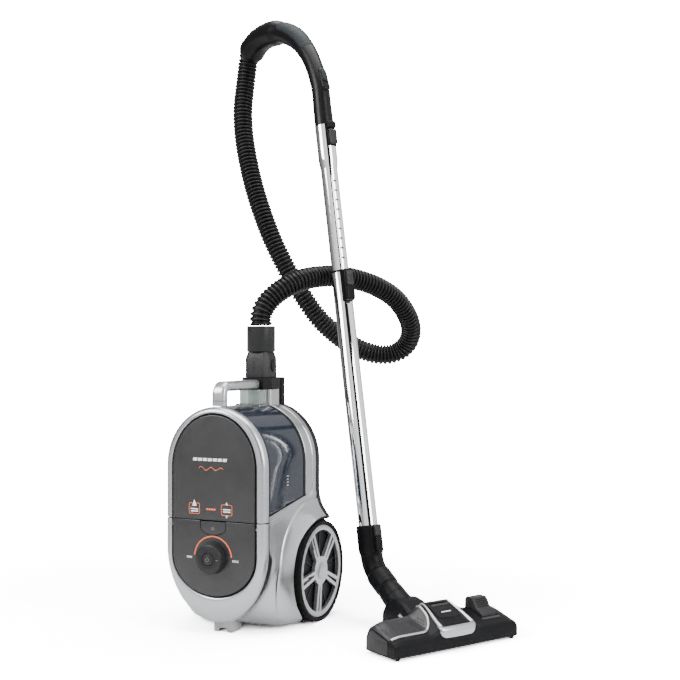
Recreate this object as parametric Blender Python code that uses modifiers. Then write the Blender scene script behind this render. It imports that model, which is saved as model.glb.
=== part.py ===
"""Canister vacuum cleaner, standing in its parking position with its wand and floor nozzle.

Metres, +Z up. The canister faces -Y and its middle plane is X = 0. The origin is on the floor, under the
rear of the parking bracket. Depths marked "t" are measured rearward from the front rim plane.
"""

import math

import bmesh
import bpy
from mathutils import Matrix, Vector

# ---- Driving dimensions -------------------------------------------------------------------------------
GAP = 0.0004                # clearance between neighbouring solids
FRONT_Y = -0.055            # front rim plane
WALL = 0.0028               # moulded wall

HALF_WIDTH = 0.0987         # canister outline
TOP_Z = 0.391
TOP_RISE = 0.103
SIDE_FOOT_Z = 0.150         # where the straight sides end and the rounded bottom starts
# The underside's height at depths t: the belly sinks behind the rim to its level part.
BELLY = [(0.0, 0.021), (0.020, 0.0195), (0.040, 0.0120), (0.062, 0.0070), (0.083, 0.0060)]
PANEL_HALF_WIDTH = HALF_WIDTH - 0.0172   # dark front panel outline
PANEL_TOP_Z = 0.377
PANEL_TOP_RISE = 0.090
PANEL_BOTTOM_Z = 0.069
PANEL_BOTTOM_DROP = 0.068
SEAM_Z = 0.197              # between the lower panel and the dust container
PANEL_PROUD = 0.015         # the panel stands this far in front of the rim plane
RIM_BACK_T = 0.003
WINDOW_END_T = 0.141        # rear edge of the smoky window
SHELL_END_T = 0.183
BACK_END_T = 0.201
DECK_FRONT_Z = 0.2065       # deck under the dust container, rising rearward
DECK_SLOPE = 0.152
DECK_THICKNESS = 0.003

WHEEL_RADIUS = 0.090
WHEEL_T = 0.1656
WHEEL_INNER_X = HALF_WIDTH + 0.0013
WHEEL_OUTER_X = HALF_WIDTH + 0.0213
TYRE_DEPTH = 0.0062
AXLE_RADIUS = 0.0075
ARCH_CLEARANCE = 0.003      # between tyre and wheel arch
ARCH_BAND = 0.025           # radial width of the wheel arch
ARCH_LIP_X = HALF_WIDTH + 0.0053        # the arch's lip beside the wheel's front
FLARE_TIP_X = HALF_WIDTH + 0.0208       # the arch's lip at its rear end
FLARE_TOP_Z = 2 * WHEEL_RADIUS + 0.0385   # where the back shell's flare leaves the straight side
FLARE_TIP_Z = 2 * WHEEL_RADIUS + 0.010
FLARE_FOOT_Z = 2 * WHEEL_RADIUS - 0.0035
CORD_OUTLET_X = 0.045
CORD_OUTLET_Z = 0.125
CASTOR_Z = 0.330

KNOB_Z = 0.134
KNOB_RADIUS = 0.027
KNOB_HEIGHT = 0.018
KNOB_SHAFT_RADIUS = 0.004
BUTTON_HALF_WIDTH = 0.025   # container release button
BUTTON_HEIGHT = 0.024

MOTOR_RADIUS = 0.046
MOTOR_Z = 0.115
REEL_RADIUS = 0.055
REEL_T = 0.152              # the cord reel's middle

INLET_Y = 0.099
INLET_BORE = 0.0155
COLUMN_TOP_Z = 0.4155
COLLAR_TOP_Z = 0.4372
CONNECTOR_STEP_Z = 0.484
CONNECTOR_TOP_Z = 0.531
CONNECTOR_RADIUS = 0.026
HANDLE_BAR_TOP_Z = 0.4335
HANDLE_BAR_WIDTH = 0.026
HANDLE_BAR_THICKNESS = 0.0165

HOSE_RADIUS = 0.0203
LOWER_TUBE_RADIUS = 0.0175
UPPER_TUBE_RADIUS = 0.0160
TUBE_WALL = 0.001
WAND_FOOT = Vector((0.2018, 0.1421, 0.1246))
WAND_HEAD = Vector((0.0732, 0.2151, 0.9100))
LOWER_TUBE_LENGTH = 0.516
UPPER_TUBE_START = 0.336    # how far up the wand the inner tube's lower end is
LOCK_RADIUS = LOWER_TUBE_RADIUS + 0.005
LOCK_LENGTH = 0.055
NOTCH_PITCH = 0.0185
NOTCH_COUNT = 9

NOZZLE_REAR = Vector((0.3427, 0.0620, 0.0))
NOZZLE_FORWARD = Vector((0.8695, -0.4940, 0.0)).normalized()
NOZZLE_HALF_LENGTH = 0.1325
NOZZLE_DEPTH = 0.0735
NOZZLE_END_HEIGHT = 0.049
NOZZLE_HUMP_HEIGHT = 0.068
NOZZLE_UNDERSIDE = 0.0045
NECK_RADIUS = LOWER_TUBE_RADIUS + 0.002
AIR_SLIDER_Z = 1.000

# The hose's route, from the connector over and behind the wand to the bent handle.
HOSE_ROUTE = [
    (0.000, 0.099, 0.5322), (0.000, 0.099, 0.546), (0.003, 0.102, 0.562), (0.012, 0.113, 0.581),
    (0.029, 0.133, 0.601), (0.048, 0.163, 0.617), (0.065, 0.198, 0.625), (0.086, 0.241, 0.628),
    (0.110, 0.286, 0.623), (0.135, 0.328, 0.610), (0.154, 0.368, 0.590), (0.164, 0.401, 0.563),
    (0.165, 0.429, 0.534), (0.155, 0.446, 0.507), (0.136, 0.452, 0.487), (0.112, 0.447, 0.477),
    (0.086, 0.435, 0.477), (0.061, 0.417, 0.486), (0.036, 0.396, 0.502), (0.014, 0.374, 0.524),
    (-0.009, 0.352, 0.554), (-0.035, 0.332, 0.600), (-0.063, 0.318, 0.653), (-0.091, 0.312, 0.710),
    (-0.115, 0.313, 0.765), (-0.137, 0.318, 0.820), (-0.156, 0.325, 0.879), (-0.170, 0.333, 0.935),
    (-0.177, 0.341, 0.988), (-0.1765, 0.350, 1.040), (-0.1722, 0.3546, 1.0890),
]
HOSE_POINT_SPACING = 0.021

SILVER = ("silver paint", (0.72, 0.73, 0.75), 0.30, 0.75)
PANEL_GREY = ("charcoal panel", (0.075, 0.075, 0.080), 0.38, 0.0)
BLACK = ("black plastic", (0.020, 0.020, 0.022), 0.40, 0.0)
DARK_GREY = ("dark grey plastic", (0.060, 0.061, 0.065), 0.42, 0.0)
MID_GREY = ("mid grey plastic", (0.16, 0.165, 0.17), 0.45, 0.0)
SMOKE = ("smoky window", (0.10, 0.12, 0.15), 0.10, 0.0)
RUBBER = ("rubber", (0.018, 0.018, 0.018), 0.70, 0.0)
CHROME = ("chrome", (0.85, 0.86, 0.88), 0.08, 1.0)
STEEL = ("steel", (0.55, 0.56, 0.58), 0.30, 1.0)
FOAM = ("filter foam", (0.70, 0.70, 0.66), 0.95, 0.0)
BOARD = ("circuit board", (0.03, 0.20, 0.09), 0.55, 0.0)
BRISTLE = ("bristle", (0.05, 0.05, 0.05), 0.90, 0.0)

FULL_TURN = 2 * math.pi


# ---- Helpers ------------------------------------------------------------------------------------------
def clear_scene():
    for old in list(bpy.data.objects):
        bpy.data.objects.remove(old, do_unlink=True)


def new_collection(name):
    made = bpy.data.collections.new(name)
    bpy.context.scene.collection.children.link(made)
    return made


def material(finish):
    name, colour, roughness, metallic = finish
    found = bpy.data.materials.get(name)
    if found:
        return found
    made = bpy.data.materials.new(name)
    made.use_nodes = True
    made.diffuse_color = (*colour, 1.0)
    shader = made.node_tree.nodes["Principled BSDF"]
    shader.inputs["Base Color"].default_value = (*colour, 1.0)
    shader.inputs["Roughness"].default_value = roughness
    shader.inputs["Metallic"].default_value = metallic
    return made


def add_object(name, mesh, finish=None):
    """Links a mesh as a finished part or, with no finish, as a hidden cutter."""
    made = bpy.data.objects.new(name, mesh)
    if finish is None:
        CUTTERS.objects.link(made)
        made.hide_render = True
        made.display_type = "WIRE"
        return made
    mesh.materials.append(material(finish))
    mesh.shade_smooth()
    mesh.set_sharp_from_angle(angle=math.radians(35))
    PARTS.objects.link(made)
    return made


def mesh_from_curve(name, curve, matrix):
    """A curve's evaluated shape as a mesh with its caps welded."""
    guide = bpy.data.objects.new(name + "_guide", curve)
    bpy.context.scene.collection.objects.link(guide)
    bpy.context.view_layer.update()
    graph = bpy.context.evaluated_depsgraph_get()
    mesh = bpy.data.meshes.new_from_object(guide.evaluated_get(graph))
    mesh.name = name
    bpy.data.objects.remove(guide, do_unlink=True)
    shape = bmesh.new()
    shape.from_mesh(mesh)
    bmesh.ops.remove_doubles(shape, verts=shape.verts, dist=1e-6)
    shape.to_mesh(mesh)
    shape.free()
    mesh.transform(matrix)
    mesh.materials.clear()
    return mesh


def frame_at(origin, x_axis, y_axis, z_axis):
    made = Matrix((x_axis, y_axis, z_axis)).transposed().to_4x4()
    made.translation = origin
    return made


def axis_frame(axis, origin=(0, 0, 0)):
    """A frame whose local Z is the named world axis, with outlines read as (Y, Z), (X, Z) or (X, Y)."""
    x, y, z = Vector((1, 0, 0)), Vector((0, 1, 0)), Vector((0, 0, 1))
    columns = {"X": (y, z, x), "Y": (x, z, -y), "Z": (x, y, z)}[axis]
    return frame_at(Vector(origin), *columns)


def plate(name, outlines, low, high, frame, finish=None):
    """Flat outlines extruded along a frame's Z; outlines after the first are holes in it."""
    curve = bpy.data.curves.new(name, "CURVE")
    curve.dimensions = "2D"
    curve.fill_mode = "BOTH"
    curve.extrude = abs(high - low) / 2
    for outline in outlines:
        spline = curve.splines.new("POLY")
        spline.points.add(len(outline) - 1)
        for point, (a, b) in zip(spline.points, outline):
            point.co = (a, b, 0, 1)
        spline.use_cyclic_u = True
    matrix = frame @ Matrix.Translation((0, 0, (low + high) / 2))
    return add_object(name, mesh_from_curve(name, curve, matrix), finish)


def slab(name, outlines, t_low, t_high, finish=None):
    """An (X, Z) outline extruded between two depths."""
    frame = axis_frame("Y", (0, FRONT_Y, 0))
    return plate(name, outlines, -t_high, -t_low, frame, finish)


def side_slab(name, outline, half_width, finish=None):
    """A (t, Z) outline extruded across the canister."""
    points = [(FRONT_Y + t, z) for t, z in outline]
    return plate(name, [points], -half_width, half_width, axis_frame("X"), finish)


def box(name, low, high, finish=None, frame=None):
    shape = bmesh.new()
    size = Vector(high) - Vector(low)
    middle = (Vector(high) + Vector(low)) / 2
    bmesh.ops.create_cube(shape, size=1.0)
    bmesh.ops.scale(shape, vec=size, verts=shape.verts)
    bmesh.ops.translate(shape, vec=middle, verts=shape.verts)
    mesh = bpy.data.meshes.new(name)
    shape.to_mesh(mesh)
    shape.free()
    if frame is not None:
        mesh.transform(frame)
    return add_object(name, mesh, finish)


def t_box(name, x_range, t_range, z_range, finish=None):
    low = (x_range[0], FRONT_Y + t_range[0], z_range[0])
    high = (x_range[1], FRONT_Y + t_range[1], z_range[1])
    return box(name, low, high, finish)


def cylinder(name, radius, low, high, frame, finish=None, sides=24):
    shape = bmesh.new()
    bmesh.ops.create_cone(shape, cap_ends=True, segments=sides, radius1=radius, radius2=radius,
                          depth=high - low)
    mesh = bpy.data.meshes.new(name)
    shape.to_mesh(mesh)
    shape.free()
    mesh.transform(frame @ Matrix.Translation((0, 0, (low + high) / 2)))
    return add_object(name, mesh, finish)


def turned(name, profile, frame, finish=None, closed=True, steps=24):
    """A profile of (radius, height) turned about a frame's Z, running down its outer side."""
    mesh = bpy.data.meshes.new(name)
    count = len(profile)
    edges = [(i, i + 1) for i in range(count - 1)]
    if closed:
        edges.append((count - 1, 0))
    mesh.from_pydata([(radius, 0, height) for radius, height in profile], edges, [])
    made = add_object(name, mesh, finish)
    made.matrix_world = frame
    screw = made.modifiers.new("turn", "SCREW")
    screw.steps = steps
    screw.render_steps = steps
    screw.use_merge_vertices = True
    screw.merge_threshold = 1e-5
    return made


def ring(name, outer, inner, low, high, frame, finish=None, steps=24):
    return turned(name, [(outer, high), (outer, low), (inner, low), (inner, high)], frame, finish,
                  steps=steps)


def smooth_path(points, spacing):
    """Points about one spacing apart along the smooth curve through the given points."""
    points = [Vector(p) for p in points]
    ends = [2 * points[0] - points[1]] + points + [2 * points[-1] - points[-2]]
    fine = []
    for a, b, c, d in zip(ends, ends[1:], ends[2:], ends[3:]):
        for step in range(12):
            u = step / 12
            fine.append(0.5 * (2 * b + (c - a) * u + (2 * a - 5 * b + 4 * c - d) * u * u
                               + (3 * b - a - 3 * c + d) * u ** 3))
    fine.append(points[-1])
    lengths = [0.0]
    for one, two in zip(fine, fine[1:]):
        lengths.append(lengths[-1] + (two - one).length)
    count = max(2, round(lengths[-1] / spacing))
    path = []
    index = 0
    for step in range(count + 1):
        wanted = lengths[-1] * step / count
        while index < len(fine) - 2 and lengths[index + 1] < wanted:
            index += 1
        share = (wanted - lengths[index]) / (lengths[index + 1] - lengths[index])
        path.append(fine[index].lerp(fine[index + 1], share))
    return path


def swept(name, path, radii, finish=None, wall=0.0, detail=2):
    """A round tube along a path: solid with caps, or a shell of the given wall with open ends."""
    curve = bpy.data.curves.new(name, "CURVE")
    curve.dimensions = "3D"
    curve.bevel_depth = 1.0
    curve.bevel_resolution = detail
    curve.use_fill_caps = wall == 0
    spline = curve.splines.new("POLY")
    spline.points.add(len(path) - 1)
    for point, place, radius in zip(spline.points, path, radii):
        point.co = (*place, 1)
        point.radius = radius
    made = add_object(name, mesh_from_curve(name, curve, Matrix()), finish)
    if wall:
        shell = made.modifiers.new("wall", "SOLIDIFY")
        shell.thickness = wall
        shell.offset = -1
    return made


def loft(name, sections, finish=None, closed=False):
    """Joins sections of equal point counts; open ends are capped, and a closed loft meets itself."""
    shape = bmesh.new()
    rows = [[shape.verts.new(point) for point in section] for section in sections]
    pairs = list(zip(rows, rows[1:]))
    if closed:
        pairs.append((rows[-1], rows[0]))
    for one, two in pairs:
        for i in range(len(one)):
            j = (i + 1) % len(one)
            shape.faces.new((one[i], one[j], two[j], two[i]))
    if not closed:
        shape.faces.new(list(reversed(rows[0])))
        shape.faces.new(rows[-1])
    bmesh.ops.recalc_face_normals(shape, faces=shape.faces)
    mesh = bpy.data.meshes.new(name)
    shape.to_mesh(mesh)
    shape.free()
    return add_object(name, mesh, finish)


def boolean(target, other, operation):
    made = target.modifiers.new(operation.lower() + " " + other.name, "BOOLEAN")
    made.operation = operation
    made.object = other
    return target


def cut(target, *cutters):
    for cutter in cutters:
        boolean(target, cutter, "DIFFERENCE")
    return target


def join(target, *others):
    for other in others:
        boolean(target, other, "UNION")
    return target


def circle(radius, count=32, centre=(0, 0)):
    return [(centre[0] + radius * math.cos(FULL_TURN * i / count),
             centre[1] + radius * math.sin(FULL_TURN * i / count)) for i in range(count)]


def arch_outline(half_width, top, rise, bottom, drop, steps=10):
    """A straight-sided outline with half-ellipse ends, as (x, z)."""
    upper = [(half_width * math.cos(math.pi * i / steps),
              top - rise + rise * math.sin(math.pi * i / steps)) for i in range(steps + 1)]
    lower = [(-half_width * math.cos(math.pi * i / steps),
              bottom + drop - drop * math.sin(math.pi * i / steps)) for i in range(steps + 1)]
    return upper + lower


def belly_z(t):
    for (t_low, z_low), (t_high, z_high) in zip(BELLY, BELLY[1:]):
        if t <= t_high:
            share = max(0.0, t - t_low) / (t_high - t_low)
            return z_low + (z_high - z_low) * share
    return BELLY[-1][1]


def body_outline(inset=0.0, t=1.0):
    bottom = belly_z(t)
    return arch_outline(HALF_WIDTH - inset, TOP_Z - inset, TOP_RISE - inset, bottom + inset,
                        SIDE_FOOT_Z - bottom - inset)


def body_block(name, inset, t_low, t_high, finish=None):
    """The canister's outer form between two depths, drawn in by an inset."""
    stations = [t_low] + [t for t, _ in BELLY if t_low < t < t_high] + [t_high]
    sections = [[(x, FRONT_Y + t, z) for x, z in body_outline(inset, t)] for t in stations]
    return loft(name, sections, finish)


def panel_outline(inset=0.0):
    return arch_outline(PANEL_HALF_WIDTH - inset, PANEL_TOP_Z - inset, PANEL_TOP_RISE - inset,
                        PANEL_BOTTOM_Z + inset, PANEL_BOTTOM_DROP - inset)


def body_half_width(z):
    """Half the canister's width at a height in its lower, rounded part."""
    below = (SIDE_FOOT_Z - z) / (SIDE_FOOT_Z - BELLY[-1][1])
    return HALF_WIDTH * math.sqrt(1 - min(0.98, max(0.0, below)) ** 2)


def deck_z(t):
    return DECK_FRONT_Z + DECK_SLOPE * (t - RIM_BACK_T)


def above_deck(name, lift, t_end):
    """A cutter for everything higher than the deck plus a lift, as far back as t_end."""
    start = -0.05
    return side_slab(name, [(start, deck_z(start) + lift), (t_end, deck_z(t_end) + lift),
                            (t_end, 0.6), (start, 0.6)], 0.2)


def below_deck(name, lift):
    return side_slab(name, [(-0.05, deck_z(-0.05) + lift), (-0.05, -0.1), (0.25, -0.1),
                            (0.25, deck_z(0.25) + lift)], 0.2)


# ---- Canister shell -----------------------------------------------------------------------------------
def wheel_arch(side):
    """The raised band round a wheel, which flares out over the wheel towards its rear end."""
    wheel_y = FRONT_Y + WHEEL_T
    inner = WHEEL_RADIUS + ARCH_CLEARANCE
    outer = inner + ARCH_BAND
    first, steps = 212, 14
    last = math.degrees(math.acos((SHELL_END_T - 0.001 - WHEEL_T) / outer))
    sections = []
    for step in range(steps + 1):
        degrees = first + (last - first) * step / steps
        angle = math.radians(degrees)
        flare = min(1.0, max(0.0, (150 - degrees) / 54))
        lip = ARCH_LIP_X + (FLARE_TIP_X - ARCH_LIP_X) * flare
        z = WHEEL_RADIUS + inner * math.sin(angle)
        root = body_half_width(z) - 0.006
        edge = max(body_half_width(z), root + 0.003)
        profile = [(inner, root), (inner, lip), (inner + 0.010, lip), (outer, edge), (outer, root)]
        sections.append([(side * x, wheel_y + radius * math.cos(angle),
                          WHEEL_RADIUS + radius * math.sin(angle)) for radius, x in profile])
    return loft(f"wheel_arch_{side}", sections)


def build_body_shell():
    shell = body_block("body_shell", 0.0, RIM_BACK_T + 0.001, SHELL_END_T, SILVER)
    cut(shell, above_deck("over_deck", 0, WINDOW_END_T))
    lower_cavity = body_block("lower_cavity", WALL, RIM_BACK_T + 0.001 + WALL, 0.25)
    cut(lower_cavity, above_deck("under_deck", -DECK_THICKNESS, 0.3))
    upper_cavity = slab("upper_cavity", [body_outline(0.010)], WINDOW_END_T + WALL, 0.25)
    cut(upper_cavity, below_deck("deck_rear", 0.004))
    air_hole = cylinder("air_hole", 0.030, 0.15, 0.25, axis_frame("Z", (0, FRONT_Y + 0.070, 0)))
    column = t_box("column", (-0.025, 0.025), (WINDOW_END_T + 0.004, SHELL_END_T),
                   (TOP_Z - 0.010, COLUMN_TOP_Z))
    join(shell, column)
    cut(shell, lower_cavity, upper_cavity, air_hole)
    for side in (-1, 1):
        boss_frame = axis_frame("X", (0, FRONT_Y + WHEEL_T, WHEEL_RADIUS))
        low, high = sorted((side * (HALF_WIDTH - 0.0272), side * (WHEEL_INNER_X - 0.001)))
        boss = cylinder(f"boss_{side}", 0.014, low, high, boss_frame)
        low, high = sorted((side * (HALF_WIDTH - 0.0387), side * (HALF_WIDTH + 0.0113)))
        bore = cylinder(f"axle_bore_{side}", AXLE_RADIUS + GAP, low, high, boss_frame)
        join(shell, wheel_arch(side), boss)
        cut(shell, bore)
    return shell


def build_back_shell():
    start = SHELL_END_T + GAP
    shell = slab("back_shell", [body_outline()], start, BACK_END_T, BLACK)
    hollow = slab("back_hollow", [body_outline(WALL)], start - 0.01, BACK_END_T - WALL)
    vent = t_box("vent_opening", (-0.029, 0.029), (0.17, 0.21), (0.252, 0.298))
    root = HALF_WIDTH - WALL / 2
    flare = [(root, FLARE_TOP_Z), (FLARE_TIP_X, FLARE_TIP_Z), (FLARE_TIP_X, FLARE_FOOT_Z),
             (root, FLARE_FOOT_Z)]
    wheel_room = []
    for side in (-1, 1):
        join(shell, slab(f"flare_{side}", [[(side * x, z) for x, z in flare]], start, BACK_END_T))
        low, high = sorted((side * (WHEEL_INNER_X - 0.004), side * (WHEEL_OUTER_X + 0.010)))
        wheel_room.append(cylinder(f"wheel_room_{side}", WHEEL_RADIUS + ARCH_CLEARANCE, low, high,
                                   axis_frame("X", (0, FRONT_Y + WHEEL_T, WHEEL_RADIUS))))
    return cut(shell, hollow, vent, *wheel_room)


def rim_loop():
    """The silver rim as a closed loop, from the panel's edge round to the body's side."""
    inner = panel_outline(-0.0012)
    outer = body_outline(t=0.0)
    profile = [(1.0, RIM_BACK_T), (1.0, -0.001), (0.90, -0.007), (0.60, -0.0115), (0.25, -0.0135),
               (0.0, -0.0125), (0.0, RIM_BACK_T)]
    sections = []
    for share, t in profile:
        sections.append([(a[0] + (b[0] - a[0]) * share, FRONT_Y + t, a[1] + (b[1] - a[1]) * share)
                         for a, b in zip(inner, outer)])
    return sections


def half_space(name, low_z, high_z):
    return box(name, (-0.3, -0.3, low_z), (0.3, 0.3, high_z))


def panel_dish(name, low_z, high_z):
    """One half of the dark front panel, hollow behind."""
    dish = slab(name, [panel_outline()], -PANEL_PROUD, RIM_BACK_T - GAP, PANEL_GREY)
    hollow = slab(name + "_hollow", [panel_outline(WALL)], -PANEL_PROUD + WALL, 0.05)
    cut(hollow, half_space(name + "_hollow_low", -0.2, low_z + WALL),
        half_space(name + "_hollow_high", high_z - WALL, 0.8))
    cut(dish, half_space(name + "_low", -0.2, low_z), half_space(name + "_high", high_z, 0.8), hollow)
    return dish


def release_outline(inset):
    """The release button's D shape: flat at the seam, rounded below."""
    half = BUTTON_HALF_WIDTH - inset
    top = SEAM_Z - 0.001 - inset
    height = BUTTON_HEIGHT - 2 * inset
    steps = 10
    arc = [(half * math.cos(math.pi * i / steps),
            top - 0.4 * height - 0.6 * height * math.sin(math.pi * i / steps)) for i in range(steps + 1)]
    return [(half, top), (-half, top)] + list(reversed(arc))


def build_front():
    join_gap = GAP / 2
    rim = loft("container_rim", rim_loop(), SILVER, closed=True)
    cut(rim, half_space("rim_low", -0.2, SEAM_Z + join_gap))
    bezel = loft("lower_bezel", rim_loop(), SILVER, closed=True)
    cut(bezel, half_space("bezel_high", SEAM_Z - join_gap, 0.8))
    panel_dish("container_panel", SEAM_Z + join_gap, 0.7)
    lower = panel_dish("lower_front_panel", -0.1, SEAM_Z - join_gap)
    shaft_hole = cylinder("shaft_hole", KNOB_SHAFT_RADIUS + 0.001, -0.02, 0.1,
                          axis_frame("Y", (0, FRONT_Y, KNOB_Z)))
    button_hole = slab("button_hole", [release_outline(0)], -0.03, 0.0)
    cut(lower, shaft_hole, button_hole)
    slab("release_button", [release_outline(0.0006)], -PANEL_PROUD - 0.0005, -PANEL_PROUD + 0.006, DARK_GREY)


def build_bracket():
    outline = [(0.020, 0.0), (0.064, 0.0), (0.064, 0.0085), (0.020, 0.0205)]
    bracket = side_slab("parking_bracket", outline, 0.018, MID_GREY)
    slot = t_box("bracket_slot", (-0.0085, 0.0085), (0.010, 0.046), (-0.01, 0.0080))
    clear = body_block("bracket_clear", -GAP, 0.001, 0.3)
    cut(bracket, slot, clear)


def build_knob():
    front = -PANEL_PROUD - GAP
    frame = axis_frame("Y", (0, FRONT_Y, KNOB_Z))
    tip = -front + KNOB_HEIGHT
    well = 0.0115
    profile = [(well, tip - 0.002), (well + 0.001, tip), (KNOB_RADIUS - 0.006, tip),
               (KNOB_RADIUS - 0.002, tip - 0.004), (KNOB_RADIUS, -front), (KNOB_SHAFT_RADIUS, -front),
               (KNOB_SHAFT_RADIUS, -0.002), (0, -0.002), (0, tip - 0.008), (well, tip - 0.008)]
    turned("power_knob", profile, frame, DARK_GREY, closed=True)
    button = [(0, tip + 0.0005), (well - 0.0015, tip + 0.0005), (well - GAP, tip - 0.001),
              (well - GAP, tip - 0.0050), (0, tip - 0.0050)]
    turned("power_button", button, frame, DARK_GREY, closed=False)


# ---- Canister inside ----------------------------------------------------------------------------------
def build_inside():
    front = axis_frame("Y", (0, FRONT_Y, MOTOR_Z))
    wall = 0.003
    turned("motor_housing", [(MOTOR_RADIUS, -0.060), (MOTOR_RADIUS, -0.124), (0.010, -0.124),
                             (0.010, -0.120), (MOTOR_RADIUS - wall, -0.120),
                             (MOTOR_RADIUS - wall, -0.060)], front, DARK_GREY)
    turned("motor_rotor", [(0, -0.062), (0.036, -0.062), (0.036, -0.070), (0.020, -0.072),
                           (0.020, -0.112), (0.006, -0.114), (0.006, -0.126), (0, -0.126)],
           front, STEEL, closed=False)
    turned("cord_reel", [(REEL_RADIUS, -0.134), (REEL_RADIUS, -0.138), (0.030, -0.138), (0.030, -0.166),
                         (REEL_RADIUS, -0.166), (REEL_RADIUS, -0.170), (0.007, -0.170),
                         (0.007, -0.134)], front, DARK_GREY)
    turned("reel_spindle", [(0, -0.131), (0.0062, -0.131), (0.0062, -0.174), (0.012, -0.174),
                            (0.012, -0.1790), (0, -0.1790)], front, STEEL, closed=False)
    ring("motor_filter", 0.034, 0.006, 0.180, 0.190, axis_frame("Z", (0, FRONT_Y + 0.070, 0)), FOAM)
    t_box("control_board", (-0.034, 0.034), (0.020, 0.0216), (0.105, 0.160), BOARD)
    t_box("exhaust_filter", (-0.034, 0.034), (0.148, 0.166), (0.246, 0.304), FOAM)
    slots = []
    for row in range(5):
        z = 0.2560 + 0.0095 * row
        slots.append([(-0.026, z), (0.026, z), (0.026, z + 0.0045), (-0.026, z + 0.0045)])
    outline = [(-0.035, 0.2455), (0.035, 0.2455), (0.035, 0.3045), (-0.035, 0.3045)]
    slab("exhaust_grille", [outline] + slots, BACK_END_T + GAP, BACK_END_T + 0.0034, DARK_GREY)
    turned("cord_outlet", [(0.009, -BACK_END_T - GAP), (0.006, -BACK_END_T - 0.005),
                           (0.0035, -BACK_END_T - 0.005), (0.0035, -BACK_END_T - GAP)],
           axis_frame("Y", (CORD_OUTLET_X, FRONT_Y, CORD_OUTLET_Z)), DARK_GREY, steps=24)


# ---- Wheels and castor --------------------------------------------------------------------------------
def spoke_windows():
    """Five wide windows between the double spokes, and the slit inside each double spoke."""
    windows = []
    outer_end = WHEEL_RADIUS - TYRE_DEPTH - 0.0098
    for spoke in range(5):
        middle = math.radians(118 - 72 * spoke)
        slit = [(0.028, -0.030), (0.028, 0.030), (outer_end - 0.002, 0.018), (outer_end - 0.002, -0.018)]
        windows.append([(r * math.cos(middle + a), r * math.sin(middle + a)) for r, a in slit])
        centre = middle + math.radians(36)
        spread = math.radians(36)
        outer = [(outer_end, centre - spread * 0.70 + spread * 1.40 * i / 6) for i in range(7)]
        inner = [(0.026, centre + spread * 0.40), (0.026, centre - spread * 0.40)]
        windows.append([(r * math.cos(a), r * math.sin(a)) for r, a in outer + inner])
    return windows


def build_wheel(side, word):
    frame = axis_frame("X", (0, FRONT_Y + WHEEL_T, WHEEL_RADIUS))
    seat = WHEEL_RADIUS - TYRE_DEPTH
    low, high = sorted((side * WHEEL_INNER_X, side * WHEEL_OUTER_X))
    chamfer = 0.003
    turned("tyre_" + word, [(WHEEL_RADIUS - chamfer, high), (WHEEL_RADIUS, high - chamfer),
                            (WHEEL_RADIUS, low + chamfer), (WHEEL_RADIUS - chamfer, low), (seat, low),
                            (seat, high)], frame, RUBBER, steps=36)
    low, high = sorted((side * (WHEEL_OUTER_X - 0.011), side * (WHEEL_OUTER_X - 0.0015)))
    plate("wheel_rim_" + word,
          [circle(seat - GAP, 36), circle(AXLE_RADIUS + GAP, 16)] + spoke_windows(),
          low, high, frame, SILVER)
    low, high = sorted((side * (WHEEL_OUTER_X - 0.0011), side * (WHEEL_OUTER_X + 0.0010)))
    cylinder("hub_cap_" + word, 0.0135, low, high, frame, SILVER, sides=24)
    low, high = sorted((side * (HALF_WIDTH - 0.0347), side * (WHEEL_OUTER_X - 0.0015)))
    cylinder("axle_" + word, AXLE_RADIUS, low, high, frame, STEEL, sides=16)


def build_castor():
    back = -BACK_END_T
    frame = axis_frame("Y", (0, FRONT_Y, CASTOR_Z))
    fork = cylinder("castor_fork", 0.0155, back - 0.0055, back - GAP, frame, DARK_GREY, sides=24)
    wheel_t = BACK_END_T + 0.0205
    wheel_z = CASTOR_Z - 0.008
    pin_frame = axis_frame("X", (0, FRONT_Y + wheel_t, wheel_z))
    for side in (-1, 1):
        arm = t_box(f"castor_arm_{side}", sorted((side * 0.0085, side * 0.0115)),
                    (BACK_END_T + 0.002, wheel_t + 0.005), (wheel_z - 0.006, wheel_z + 0.007))
        join(fork, arm)
    cut(fork, cylinder("castor_pin_bore", 0.0024, -0.02, 0.02, pin_frame, sides=16))
    cylinder("castor_pin", 0.0020, -0.0115, 0.0115, pin_frame, STEEL, sides=16)
    ring("castor_wheel", 0.0130, 0.0024, -0.0075, 0.0075, pin_frame, RUBBER, steps=24)


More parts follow.
